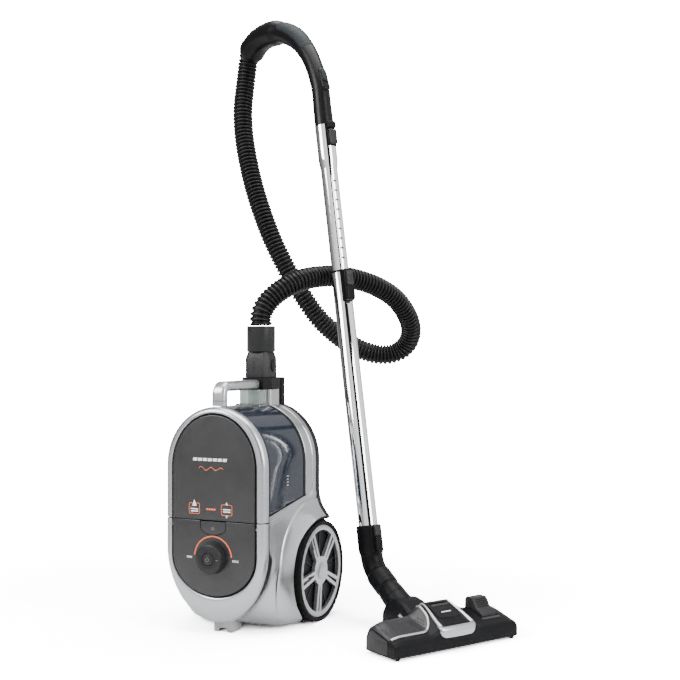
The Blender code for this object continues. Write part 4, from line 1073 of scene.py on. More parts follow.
def release_outline(inset):
    """The release button's D shape: flat at the seam, rounded below."""
    half = 0.025 - inset
    top = SEAM_Z - 0.0012 - inset
    height = 0.024 - 2 * inset
    steps = 24
    arc = [(-half * math.cos(math.pi * i / steps),
            top - 0.40 * height - 0.60 * height * math.sin(math.pi * i / steps)) for i in range(steps + 1)]
    return arc + [(half, top), (-half, top)]


def build_release_button():
    piece("release_key", cushion(release_outline(0.0005), PANEL_PROUD - 0.0032, PANEL_PROUD + 0.0003, 0.0009,
                                 FRONT), PANEL, "release_key", "release_button")
    face = PANEL_PROUD + 0.0003
    bar = rounded_rectangle(0.0030, 0.0004, 0.0003, (0, SEAM_Z - 0.0150))
    piece("eject_bar", plate([bar], face, face + 0.0001, FRONT), GREY_INK, "release_key")
    mark = [(-0.0030, SEAM_Z - 0.0130), (0.0030, SEAM_Z - 0.0130), (0.0, SEAM_Z - 0.0098)]
    piece("eject_mark", plate([mark, offset(mark, 0.0005)], face, face + 0.0001, FRONT), GREY_INK,
          "release_key")


def arc_band(radius, width, first, last, centre, steps=48):
    """A flat curved band between two angles in degrees."""
    outer, inner = [], []
    for step in range(steps + 1):
        angle = math.radians(mix(first, last, step / steps))
        for points, r in ((outer, radius + width / 2), (inner, radius - width / 2)):
            points.append((centre[0] + r * math.cos(angle), centre[1] + r * math.sin(angle)))
    return outer + list(reversed(inner))


def ink(name, outlines, finish, body, height=PANEL_PROUD):
    """A printed mark on the front panel."""
    piece(name, plate(outlines, height - 0.00005, height + 0.00012, FRONT), finish, body)


def lettering(name, words, size, centre, finish, body):
    curve = bpy.data.curves.new(name, "FONT")
    curve.body = words
    curve.size = size
    curve.align_x = "CENTER"
    curve.align_y = "CENTER"
    curve.extrude = 0.00006
    curve.offset = 0.00012
    mesh = curve_mesh(curve)
    mesh.transform(FRONT @ Matrix.Translation((*centre, PANEL_PROUD + 0.00006)))
    piece(name, mesh, finish, body)


def frame_mark(name, centre):
    """An orange rounded frame that a small sign stands in."""
    outer = rounded_rectangle(0.0108, 0.0094, 0.0028, centre)
    inner = rounded_rectangle(0.0099, 0.0085, 0.0021, centre)
    ink(name, [outer, inner], ORANGE_INK, "container")


def build_prints():
    """Printed marks: plain generic shapes, and the dial's two words."""
    ink("dial_arc", [arc_band(DIAL_RADIUS, DIAL_WIDTH, 5, 175, (0, KNOB_Z))], ORANGE_INK, "canister")
    lettering("dial_min", "MIN", 0.0056, (-0.0470, KNOB_Z - 0.0018), WHITE_INK, "canister")
    lettering("dial_max", "MAX", 0.0056, (0.0440, KNOB_Z - 0.0030), WHITE_INK, "canister")
    width, slant = 0.0078, 0.0012
    for bar in range(7):
        x = -0.0400 + 0.0098 * bar
        outline = [(x, 0.2985), (x + width, 0.2985), (x + width + slant, 0.3035), (x + slant, 0.3035)]
        ink(f"white_bar_{bar}", [outline], WHITE_INK, "container")
    wave = [(mix(-0.028, 0.020, i / 60), 0.2855 + 0.0032 * math.sin(i / 60 * 5 * math.pi)
             * (1 - 0.35 * i / 60)) for i in range(61)]
    band = [(x, z + 0.0005) for x, z in wave] + [(x, z - 0.0005) for x, z in reversed(wave)]
    ink("orange_wave", [band], ORANGE_INK, "container")
    row_z = 0.2166
    left_x, right_x = -0.037, 0.027
    frame_mark("sign_frame_left", (left_x, row_z))
    frame_mark("sign_frame_right", (right_x, row_z))
    cone = [(left_x - 0.0045, row_z + 0.0040), (left_x + 0.0045, row_z + 0.0040), (left_x, row_z + 0.0150)]
    ink("sign_cone", [cone], WHITE_INK, "container", PANEL_PROUD + 0.0001)
    for bar, (x, z) in enumerate(((left_x, row_z - 0.0010), (left_x, row_z - 0.0048),
                                  (right_x, row_z + 0.0010), (right_x, row_z - 0.0030))):
        ink(f"sign_bar_{bar}", [rounded_rectangle(0.0072, 0.0010, 0.0006, (x, z))], WHITE_INK, "container")
    for word, way in (("up", 1), ("down", -1)):
        z = row_z + way * 0.0090
        arrow = [(right_x - 0.0022, z), (right_x + 0.0022, z), (right_x, z + way * 0.0048)]
        ink("sign_arrow_" + word, [arrow], WHITE_INK, "container", PANEL_PROUD + 0.0001)
    for dash in range(4):
        x = -0.0115 + 0.0048 * dash
        ink(f"orange_dash_{dash}", [rounded_rectangle(0.0019, 0.0016, 0.0007, (x, row_z - 0.0002))],
            ORANGE_INK, "container")


def build_knob():
    place = FRONT @ Matrix.Translation((0, KNOB_Z, 0))
    base, tip = PANEL_PROUD + 0.0004, KNOB_TIP
    well = 0.0112
    profile = [(well, tip - 0.0060), (well, tip - 0.0010), (well + 0.0006, tip - 0.0002),
               (well + 0.0012, tip), (0.0138, tip), (0.0143, tip - 0.0006), (0.0148, tip),
               (KNOB_RADIUS - 0.0042, tip), (KNOB_RADIUS - 0.0026, tip - 0.0008),
               (KNOB_RADIUS - 0.0016, tip - 0.0028), (KNOB_RADIUS - 0.0008, tip - 0.0090),
               (KNOB_RADIUS, base + 0.0008), (KNOB_RADIUS - 0.0006, base), (well, base)]
    piece("dial_knob", turned(profile, place, 96), DARK_GREY, "knob", "power_knob")
    key = [(0, BUTTON_TIP), (0.0060, BUTTON_TIP), (0.0066, BUTTON_TIP - 0.0004), (0.0072, BUTTON_TIP),
           (0.0094, BUTTON_TIP - 0.0002), (0.0104, BUTTON_TIP - 0.0012), (0.0106, BUTTON_TIP - 0.0060),
           (0, BUTTON_TIP - 0.0060)]
    piece("dial_key", turned(key, place, 64, closed=False), DARK_GREY, "power_key", "power_button")
    ring = arc_band(0.0030, 0.0006, 125, 415, (0, KNOB_Z), 36)
    piece("power_ring", plate([ring], BUTTON_TIP - 0.0001, BUTTON_TIP + 0.0001, FRONT), GREY_INK, "power_key")
    stroke = rounded_rectangle(0.0003, 0.0019, 0.0002, (0, KNOB_Z + 0.0026))
    piece("power_stroke", plate([stroke], BUTTON_TIP - 0.0001, BUTTON_TIP + 0.0001, FRONT), GREY_INK,
          "power_key")
    mark = rounded_rectangle(0.0022, 0.00045, 0.0004, (0.0185, KNOB_Z))
    piece("dial_mark", plate([mark], tip - 0.0001, tip + 0.00015, FRONT), GREY_INK, "knob")


def build_bracket():
    """The pale parking bracket: two cheeks and a bridge over the slot."""
    outline = [(-0.018, 0.0), (-0.0095, 0.0), (-0.0075, 0.0072), (0.0075, 0.0072), (0.0095, 0.0),
               (0.018, 0.0), (0.018, 0.0200), (-0.018, 0.0200)]
    made = piece("bracket", stack(outline, [(-0.050, 0), (-0.0185, 0)], FRONT), PALE_GREY, "canister",
                 "parking_bracket")
    slope = [(0.010, 0.0212), (0.030, 0.0185), (0.060, 0.0100), (0.060, 0.05), (0.010, 0.05)]
    wedge = []
    for x in (-0.03, 0.03):
        wedge.append([(x, FRONT_Y + t, z) for t, z in slope])
    carve(made, loft(wedge))
    soften(made, 0.0008, 2)


# ---- Dust container -----------------------------------------------------------------------------------
def build_tub():
    """The smoky tub as an open shell, its border lines and its marks."""
    wall = 0.0024
    places = upper_half_path(0.0008, 0.2060, 64)[0]
    start, end = RIM_BACK_T + 0.0004, WINDOW_END_T
    sections = []
    for t in [start + (end - start) * i / 20 for i in range(21)]:
        foot = deck_z(t) + 0.0004
        sections.append([(x, FRONT_Y + t, max(z, foot)) for x, z in places])
    rear = [(x * 0.97, FRONT_Y + end, mix(z, 0.27, 0.03)) for x, z in places]
    sections.append([(x, y, max(z, deck_z(end) + 0.0004)) for x, y, z in rear])
    tub = piece("tub", loft(sections, ring=False), SMOKE, "container", "container_tub", sharp=50)
    thicken(tub, wall)
    border = [(0.1325, 0.0003), (0.1408, 0.0003), (0.1408, 0.0045), (0.1325, 0.0045)]
    piece("window_border", arch_strip(border, deck_z(0.138)), BLACK, "container")
    front_border = [(0.0034, 0.0006), (0.0056, 0.0006), (0.0056, 0.0045), (0.0034, 0.0045)]
    piece("window_front_border", arch_strip(front_border, deck_z(0.004)), BLACK, "container")
    for side, word in SIDES:
        x = side * (HALF_WIDTH - 0.0003)
        corner = [(0.0040, deck_z(0.004) + 0.0003), (0.1400, deck_z(0.140) + 0.0003),
                  (0.1400, deck_z(0.140) + 0.0024), (0.0040, deck_z(0.004) + 0.0020)]
        sections = [[(x - side * depth, FRONT_Y + t, z) for t, z in corner] for depth in (0, 0.004)]
        piece("window_sill_" + word, loft(sections), BLACK, "container")
        band = [(0.0050, deck_z(0.005) + 0.0024), (0.1380, deck_z(0.138) + 0.0028),
                (0.1340, deck_z(0.138) + 0.0150), (0.0050, deck_z(0.005) + 0.0110)]
        x = side * (HALF_WIDTH - 0.0042)
        sections = [[(x - side * depth, FRONT_Y + t, z) for t, z in band] for depth in (0, 0.0012)]
        piece("floor_band_" + word, loft(sections), MID_GREY, "container")
    build_chevrons()


def build_chevrons():
    """A stack of small pale chevrons on the window's right side."""
    place = frame_at((HALF_WIDTH - 0.0008, FRONT_Y + 0.0720, 0.252), (0, 1, 0), (0, 0, 1), (1, 0, 0))
    for row in range(4):
        z = 0.0052 * row
        outline = [(-0.0034, z), (0, z + 0.0020), (0.0034, z), (0.0034, z + 0.0011), (0, z + 0.0031),
                   (-0.0034, z + 0.0011)]
        piece(f"chevron_{row}", plate([outline], 0.0, 0.0002, place), PALE_GREY, "container")


def build_neck_duct():
    """The clear duct on top of the tub, in front of the silver column."""
    outline = rounded_rectangle(0.0215, 0.0155, 0.006, (0, FRONT_Y + 0.1240), 8)
    hollow = offset(outline, 0.0020)
    levels = [(TOP_Z - 0.010, 0), (COLUMN_TOP_Z - 0.0012, 0), (COLUMN_TOP_Z - 0.0004, 0.0008)]
    made = piece("clear_duct", stack(outline, levels, Matrix()), CLEAR, "container")
    carve(made, stack(hollow, [(TOP_Z - 0.02, 0), (COLUMN_TOP_Z + 0.01, 0)], Matrix()))
    flange = rounded_rectangle(0.0265, 0.0200, 0.008, (0, FRONT_Y + 0.1200), 8)
    piece("duct_flange", cushion(flange, TOP_Z - 0.012, TOP_Z - 0.0004, 0.0020, Matrix()), CLEAR, "container")


def swept_bar(path, half_width, half_thickness, corner):
    """A bar of rounded-rectangle section along a path in an X-constant plane."""
    section = rounded_rectangle(half_width, half_thickness, corner, (0, 0), 5)
    sections = []
    for place in path_frames(path, Vector((1, 0, 0))):
        sections.append([place @ Vector((a, b, 0)) for a, b in section])
    return loft(sections)


def build_carry_handle():
    half = HANDLE_THICKNESS / 2
    bar_z = HANDLE_TOP_Z - half
    stub_t = 0.0078
    end_t = 0.1245
    route = [(stub_t, TOP_Z + 0.0005), (stub_t, TOP_Z + 0.014), (stub_t + 0.0012, bar_z - 0.0100),
             (stub_t + 0.0055, bar_z - 0.0032), (stub_t + 0.0130, bar_z), (0.045, bar_z), (0.085, bar_z),
             (end_t, bar_z)]
    points = [Vector((0, FRONT_Y + t, z)) for t, z in route]
    path = smooth_path(points, 0.0022)
    made = piece("lift_handle", swept_bar(path, HANDLE_WIDTH / 2, half, 0.0062), SILVER, "container",
                 "carry_handle", sharp=60)
    soften(made, 0.0008, 2, 60)
    seam = rounded_rectangle(HANDLE_WIDTH / 2 + 0.0002, half + 0.0002, 0.0062, (0, FRONT_Y + stub_t), 6)
    piece("handle_seam", stack(seam, [(0.4000, 0), (0.4007, 0)], Matrix()), BLACK, "container")
    under = rounded_rectangle(0.0085, 0.0440, 0.003, (0, FRONT_Y + 0.072), 5)
    piece("handle_underside", stack(under, [(bar_z - half - 0.0006, 0.0006), (bar_z - half + 0.001, 0)],
                                    Matrix()), DARK_GREY, "container")


# ---- Inlet --------------------------------------------------------------------------------------------
def chamfered(half_x, half_y, chamfer):
    x, y, c = half_x, half_y, chamfer
    return [(x, -y + c), (x, y - c), (x - c, y), (-x + c, y), (-x, y - c), (-x, -y + c), (-x + c, -y),
            (x - c, -y)]


def build_inlet():
    place = upright(INLET_Y)
    outline = chamfered(0.031, 0.028, 0.012)
    collar = piece("collar", plate([outline, circle(0.0245, 64)], COLUMN_TOP_Z + 0.0004, COLLAR_TOP_Z, place),
                   GLOSS_BLACK, "canister", "inlet_collar")
    soften(collar, 0.0014, 3)
    lower = chamfered(0.0245, 0.0225, 0.008)
    stage = stack(lower, [(COLLAR_TOP_Z + 0.0004, 0), (CONNECTOR_STEP_Z - 0.012, 0),
                          (CONNECTOR_STEP_Z - 0.0010, 0.0038), (CONNECTOR_STEP_Z, 0.0040)], place)
    made = piece("connector_stage", stage, DARK_GREY, "canister", "hose_connector")
    pocket = []
    for side in (-1, 1):
        face = frame_at((side * 0.0236, INLET_Y, 0.459), (0, 1, 0), (0, 0, 1), (1, 0, 0))
        pocket.append(stack(ellipse(0.0076, 0.0116), sorted([(0.0, 0), (side * 0.006, 0)]), face))
    carve(made, *pocket)
    soften(made, 0.0008, 2)
    top = COLLAR_TOP_Z + 0.002
    sleeve = [(0.0150, 0.4180), (0.0190, 0.4180), (0.0190, top), (0.0150, top)]
    piece("connector_spigot", turned(sleeve, place), DARK_GREY, "canister")
    r = CONNECTOR_RADIUS
    top, step = CONNECTOR_TOP_Z, CONNECTOR_STEP_Z
    cup = [(0.0200, top - 0.008), (r - 0.0022, top - 0.0006), (r - 0.0010, top), (r - 0.0003, top - 0.0006),
           (r, top - 0.0016), (r, top - 0.0034), (r - 0.0005, top - 0.0040), (r, top - 0.0046),
           (r, step + 0.0020), (r - 0.0008, step + 0.0006), (r - 0.0022, step), (0.0150, step)]
    piece("connector_cup", turned(cup, place, 96), DARK_GREY, "canister")
    build_connector_details()


def build_connector_details():
    for side, word in SIDES:
        face = frame_at((side * 0.0236, INLET_Y, 0.459), (0, side, 0), (0, 0, 1), (side, 0, 0))
        piece("connector_key_" + word,
              cushion(ellipse(0.0070, 0.0110), 0.0, 0.0026, 0.0014, face), GLOSS_BLACK,
              "connector_key_" + word, "connector_button_" + word)
    front = facing_front(INLET_Y - 0.0225)
    for dot in range(4):
        outline = circle(0.0011, 16, (-0.0020, 0.4500 + 0.0052 * dot))
        piece(f"connector_dot_{dot}", plate([outline], -0.0004, 0.00015, front), BLACK, "canister")
    mark = arc_band(0.0046, 0.0008, 205, 335, (-0.008, 0.5265), 16)
    piece("cup_mark", plate([mark], -0.0008, 0.0003, facing_front(INLET_Y - 0.0247)), BLACK, "canister")
    for angle in (-62, -118, -20):
        side = math.radians(angle)
        out = Vector((math.cos(side), math.sin(side), 0))
        rib = frame_at(Vector((0, INLET_Y, 0)) + out * 0.0200, out.cross(Vector((0, 0, -1))),
                       (0, 0, 1), out)
        outline = rounded_rectangle(0.0009, 0.0170, 0.0008, (0, 0.4600))
        piece(f"stage_rib_{abs(angle)}", cushion(outline, -0.006, 0.0030, 0.0006, rib), DARK_GREY, "canister")


# ---- Wheels -------------------------------------------------------------------------------------------
def build_tyre(side, word):
    width = TYRE_OUTER_X - TYRE_INNER_X
    place = wheel_frame(side)
    seat = RIM_RADIUS + 0.0002
    steps = 240
    sections = []
    for step in range(steps):
        angle = FULL_TURN * step / steps
        knurl = 0.00045 if step % 2 else 0.0
        block_cut = 0.0007 if step % 12 < 3 else 0.0
        top = TYRE_RADIUS
        profile = [(seat, TYRE_INNER_X), (top - 0.0030, TYRE_INNER_X), (top - 0.0008, TYRE_INNER_X + 0.0010),
                   (top - block_cut, TYRE_INNER_X + 0.0030), (top - block_cut, TYRE_INNER_X + 0.30 * width),
                   (top - 0.0011, TYRE_INNER_X + 0.33 * width), (top - 0.0011, TYRE_INNER_X + 0.38 * width),
                   (top, TYRE_INNER_X + 0.41 * width), (top, TYRE_INNER_X + 0.59 * width),
                   (top - 0.0011, TYRE_INNER_X + 0.62 * width), (top - 0.0011, TYRE_INNER_X + 0.67 * width),
                   (top - block_cut, TYRE_INNER_X + 0.70 * width), (top - block_cut, TYRE_OUTER_X - 0.0030),
                   (top - 0.0008, TYRE_OUTER_X - 0.0010), (top - 0.0028, TYRE_OUTER_X - knurl),
                   (seat + 0.0010, TYRE_OUTER_X - knurl), (seat, TYRE_OUTER_X - 0.0006)]
        sections.append([place @ polar(r, angle, x) for r, x in profile])
    piece("tyre_tread_" + word, loft(sections, closed=True), TYRE, "wheel_" + word, "tyre_" + word, sharp=30)


def spoke_openings():
    """Five windows between the double spokes, and the long slit inside each of them."""
    outlines = []
    inner_r, outer_r, half_inner, half_outer = 0.0255, 0.0735, 0.0072, 0.0096
    for spoke in range(SPOKE_COUNT):
        middle = math.radians(FIRST_SPOKE - 72 * spoke)
        following = middle + math.radians(72)
        start = middle + math.asin(half_outer / outer_r)
        end = following - math.asin(half_outer / outer_r)
        arc = [(outer_r, mix(start, end, i / 14)) for i in range(15)]
        start_in = middle + math.asin(half_inner / inner_r)
        end_in = following - math.asin(half_inner / inner_r)
        arc += [(inner_r, mix(end_in, start_in, i / 6)) for i in range(7)]
        outlines.append([(r * math.cos(a), r * math.sin(a)) for r, a in arc])
        slit = []
        for r, half in ((0.0300, -0.0014), (0.0700, -0.0030), (0.0715, -0.0018), (0.0715, 0.0018),
                        (0.0700, 0.0030), (0.0300, 0.0014), (0.0288, 0.0)):
            slit.append((r * math.cos(middle) - half * math.sin(middle),
                         r * math.sin(middle) + half * math.cos(middle)))
        outlines.append(slit)
    return outlines


def build_wheel(side, word):
    build_tyre(side, word)
    place = wheel_frame(side)
    body = "wheel_" + word
    outer = TYRE_OUTER_X - 0.0015
    rim = piece("spokes_" + word, plate([circle(RIM_RADIUS - 0.0040, 96)] + spoke_openings(), outer - 0.0080,
                                        outer - 0.0012, place), SILVER, body, "wheel_rim_" + word)
    soften(rim, 0.0010, 3)
    ring = [(0.0725, outer - 0.0082), (0.0725, outer - 0.0018), (0.0737, outer - 0.0004), (0.0752, outer),
            (0.0800, outer), (RIM_RADIUS - 0.0022, outer - 0.0007), (RIM_RADIUS - 0.0003, outer - 0.0022),
            (RIM_RADIUS - 0.0002, outer - 0.0095), (0.0760, outer - 0.0095)]
    piece("rim_ring_" + word, turned(ring, place, 128), SILVER, body)
    cap = [(0, outer + 0.0022), (0.0080, outer + 0.0020), (0.0128, outer + 0.0011), (0.0150, outer - 0.0004),
           (0.0156, outer - 0.0030), (0, outer - 0.0030)]
    piece("hub_" + word, turned(cap, place, 64, closed=False), SILVER, body, "hub_cap_" + word)
    dish = [(0.0135, outer - 0.0096), (0.0700, outer - 0.0100), (RIM_RADIUS - 0.0010, outer - 0.0096),
            (RIM_RADIUS - 0.0010, outer - 0.0118), (0.0135, outer - 0.0128)]
    piece("wheel_dish_" + word, turned(dish, place, 96), BLACK, body)
    for rib in range(10):
        angle = math.radians(36 * rib + 10)
        turn = Matrix.Rotation(angle, 4, "Z")
        outline = [(0.016, -0.0009), (0.074, -0.0009), (0.074, 0.0009), (0.016, 0.0009)]
        mesh = cushion(outline, outer - 0.0110, outer - 0.0084, 0.0004, place @ turn)
        piece(f"dish_rib_{word}_{rib}", mesh, DARK_GREY, body)


# ---- Wand ---------------------------------------------------------------------------------------------
WAND_AXIS = (WAND_HEAD - WAND_FOOT).normalized()
WAND_FRONT = (NOZZLE_FORWARD - NOZZLE_FORWARD.dot(WAND_AXIS) * WAND_AXIS).normalized()
WAND_SIDE = WAND_AXIS.cross(WAND_FRONT)
WAND = frame_at(WAND_FOOT, WAND_FRONT, WAND_SIDE, WAND_AXIS)
SECTION_OUT = frame_at(WAND_FOOT, WAND_SIDE, WAND_AXIS, WAND_FRONT)


def plane_point(s, z):
    """A point in the wand's upright plane, s behind the nozzle's rear edge."""
    return NOZZLE_REAR - s * NOZZLE_FORWARD + Vector((0, 0, z))


def build_tubes():
    r = LOWER_TUBE_RADIUS
    lower = [(r, 0.002), (r, LOWER_TUBE_LENGTH - 0.0006), (r - 0.0004, LOWER_TUBE_LENGTH),
             (r - TUBE_WALL, LOWER_TUBE_LENGTH), (r - TUBE_WALL, 0.002)]
    piece("chrome_lower", turned(lower, WAND, 64), CHROME, "wand", "lower_tube")
    socket = WAND_LENGTH - 0.073
    u = UPPER_TUBE_RADIUS
    wide = 0.0182
    upper = [(u, UPPER_TUBE_START), (u, socket - 0.012), (u + 0.0004, socket - 0.008),
             (wide - 0.0004, socket + 0.002), (wide, socket + 0.006), (wide, WAND_LENGTH + 0.0008),
             (wide - 0.0012, WAND_LENGTH + 0.002), (wide - 0.0012, socket + 0.006),
             (u - TUBE_WALL, socket - 0.010), (u - TUBE_WALL, UPPER_TUBE_START)]
    made = piece("chrome_upper", turned(upper, WAND, 64), CHROME, "canister", "upper_tube")
    grooves = []
    for notch in range(NOTCH_COUNT):
        height = LOWER_TUBE_LENGTH + 0.025 + NOTCH_PITCH * notch
        route = [WAND @ Vector((u + 0.0006, y, height)) for y in (-0.0085, 0.0085)]
        grooves.append(tube(route, [0.0020, 0.0020], WAND_AXIS, sides=16))
    carve(made, *grooves)
    for notch in range(NOTCH_COUNT):
        height = LOWER_TUBE_LENGTH + 0.0225 + NOTCH_PITCH * notch
        points = []
        for step in range(9):
            angle = math.radians(mix(-34, 34, step / 8))
            points.append(WAND @ polar(u - 0.0004, angle, height))
        piece(f"notch_lip_{notch}", tube(points, [0.0007] * 9, WAND_AXIS, sides=10), CHROME, "canister")


def wand_key(name, outline, depth, edge, finish, body, *nodes):
    """A key on the wand's front side: an outline of (across, along) and its depth outward."""
    piece(name, cushion(outline, *depth, edge, SECTION_OUT), finish, body, *nodes)


def sleeve_segment(radius, wall, u_range, half_angle):
    """Part of a sleeve on the wand's front side, as a closed mesh with rounded ends."""
    sections = []
    steps = 28
    levels = [(u_range[0], 0.0010), (u_range[0] + 0.001, 0), (u_range[1] - 0.001, 0), (u_range[1], 0.0010)]
    for height, inset in levels:
        ring = []
        for step in range(steps + 1):
            angle = math.radians(mix(-half_angle, half_angle, step / steps))
            ring.append(WAND @ polar(radius - inset, angle, height))
        for step in range(steps + 1):
            angle = math.radians(mix(half_angle, -half_angle, step / steps))
            ring.append(WAND @ polar(radius - wall, angle, height))
        sections.append(ring)
    return loft(sections)


def build_lock():
    """The telescope lock: a part sleeve on the tube's front, its housing and its slider."""
    top = LOWER_TUBE_LENGTH
    r = LOWER_TUBE_RADIUS
    ring = [(r - TUBE_WALL, top - 0.0016), (r + 0.0008, top - 0.0016), (r + 0.0011, top - 0.0008),
            (r + 0.0008, top + 0.0012), (UPPER_TUBE_RADIUS + 0.0003, top + 0.0016)]
    piece("lock_ring", turned(ring, WAND, 64), BLACK, "wand", "tube_lock")
    piece("lock_sleeve", sleeve_segment(0.0205, 0.0026, (0.459, top + 0.002), 40), BLACK, "wand")
    housing = rounded_rectangle(0.0098, 0.0290, 0.0036, (0, top - 0.0275))
    wand_key("lock_housing", housing, (0.0168, 0.0272), 0.0034, BLACK, "wand")
    slider = rounded_rectangle(0.0068, 0.0135, 0.0024, (0, top - 0.0165))
    wand_key("lock_slide", slider, (0.0262, 0.0300), 0.0016, MID_GREY, "lock_key", "lock_slider")
    for rib in range(5):
        outline = rounded_rectangle(0.0048, 0.0006, 0.0005, (0, top - 0.0225 + 0.0030 * rib))
        wand_key(f"lock_grip_{rib}", outline, (0.0298, 0.0305), 0.0003, DARK_GREY, "lock_key")


def build_head_latch():
    """The two-part clip at the top of the chrome tube that holds the handle."""
    top = WAND_LENGTH + 0.002
    piece("head_sleeve", sleeve_segment(0.0200, 0.0018, (top - 0.0440, top + 0.0010), 34), BLACK, "canister")
    cap = rounded_rectangle(0.0092, 0.0072, 0.0042, (0, top - 0.0048))
    wand_key("clip_cap", cap, (0.0150, 0.0268), 0.0034, BLACK, "canister")
    base = rounded_rectangle(0.0086, 0.0150, 0.0030, (0, top - 0.0280))
    wand_key("clip_base", base, (0.0150, 0.0217), 0.0026, BLACK, "canister")
    key = rounded_rectangle(0.0084, 0.0145, 0.0032, (0, top - 0.0280))
    wand_key("clip_key", key, (0.0234, 0.0266), 0.0018, DARK_GREY, "handle_key", "handle_latch")


# ---- Handle -------------------------------------------------------------------------------------------
HANDLE_PLACES = [(0.341, 1.025), (0.364, 1.060), (0.394, 1.090), (0.425, 1.109), (0.460, 1.1225),
                 (0.500, 1.1285), (0.540, 1.1260), (0.568, 1.1150), (0.586, 1.1010)]


def handle_path():
    start = WAND_FOOT + WAND_AXIS * (WAND_LENGTH + 0.0025)
    route = [start, start + WAND_AXIS * 0.030, start + WAND_AXIS * 0.075]
    return smooth_path(route + [plane_point(s, z) for s, z in HANDLE_PLACES], 0.0025)


def handle_radius(share):
    """The handle's radius: slim past the socket, a step up to the cuff, and the cuff's two end rings."""
    radius = mix(0.0182, 0.0172, smooth(share, 0.0, 0.20))
    radius = mix(radius, 0.0212, smooth(share, 0.30, 0.62))
    radius = mix(radius, 0.0256, smooth(share, 0.655, 0.735))
    radius += 0.0014 * math.exp(-((share - 0.955) / 0.030) ** 2)
    radius -= 0.0030 * smooth(share, 0.975, 1.0)
    for ring in (0.885, 0.912):
        radius += 0.0008 * math.exp(-((share - ring) / 0.0050) ** 2)
    return radius


def surface_patch(frames, radii, first, last, middle, half_angle, lift, corner_steps):
    """A raised patch on a tube between two stations, about an angle round it, with rounded corners."""
    sections = []
    for i in range(first, last + 1):
        place, radius = frames[i], radii[i]
        from_end = min(i - first, last - i)
        ease = math.sqrt(max(0.0, 1 - (1 - min(1.0, from_end / corner_steps)) ** 2))
        spread = math.radians(half_angle) * (0.55 + 0.45 * ease)
        height = lift * min(1.0, 0.15 + from_end / 2)
        ring = []
        for step in range(25):
            angle = math.radians(middle) + mix(-spread, spread, step / 24)
            fade = min(1.0, (12 - abs(step - 12)) / 1.5)
            r = radius + height * fade - 0.0002
            ring.append(place @ polar(r, angle))
        for step in range(25):
            angle = math.radians(middle) + mix(spread, -spread, step / 24)
            r = radius - 0.0012
            ring.append(place @ polar(r, angle))
        sections.append(ring)
    return loft(sections)


def build_handle():
    path = handle_path()
    count = len(path)
    radii = [handle_radius(i / (count - 1)) for i in range(count)]
    first_side = -(path[1] - path[0]).cross(WAND_SIDE).normalized()
    frames = path_frames(path, first_side)
    piece("grip", tube(path, radii, first_side, 56), GLOSS_BLACK, "canister", "handle_grip", sharp=60)
    first, last = round(count * 0.400), round(count * 0.660)
    piece("grip_pad", surface_patch(frames, radii, first, last, -26, 54, 0.0009, 6), INSERT, "canister",
          "grip_insert", sharp=60)
    build_air_slider(path)


def build_air_slider(path):
    middle = min(range(len(path)), key=lambda i: abs(path[i].z - AIR_SLIDER_Z))
    along = (path[middle + 1] - path[middle - 1]).normalized()
    outward = -along.cross(WAND_SIDE).normalized()
    across = along.cross(outward)
    place = frame_at(path[middle], across, along, outward)
    housing = rounded_rectangle(0.0078, 0.0240, 0.0070, (0, -0.0045), 8)
    piece("air_housing", cushion(housing, 0.008, 0.0200, 0.0030, place), GLOSS_BLACK, "canister")
    button = rounded_rectangle(0.0058, 0.0115, 0.0040, (0, 0.0005), 8)
    piece("air_key", cushion(button, 0.0185, 0.0232, 0.0018, place), INSERT, "air_valve", "air_slider")
    groove = rounded_rectangle(0.0010, 0.0170, 0.0009, (0, -0.0040))
    for side, word in SIDES:
        turn = Matrix.Rotation(side * math.radians(48), 4, "Y")
        piece("air_rib_" + word, cushion(groove, 0.0150, 0.0186, 0.0007, place @ turn), BLACK, "canister")


# ---- Neck ---------------------------------------------------------------------------------------------
NOZZLE_SIDE = Vector((0, 0, 1)).cross(NOZZLE_FORWARD)
NOZZLE = frame_at(NOZZLE_REAR, NOZZLE_FORWARD, NOZZLE_SIDE, (0, 0, 1))
PLANE = frame_at(NOZZLE_REAR, NOZZLE_FORWARD, (0, 0, 1), -NOZZLE_SIDE)


def elbow_radius(share):
    radius = NECK_RADIUS + 0.0005
    for ring in (0.10, 0.52):
        radius -= 0.0008 * math.exp(-((share - ring) / 0.016) ** 2)
    radius += 0.0018 * smooth(share, 0.52, 0.46) * smooth(share, 0.0, 0.05)
    return radius


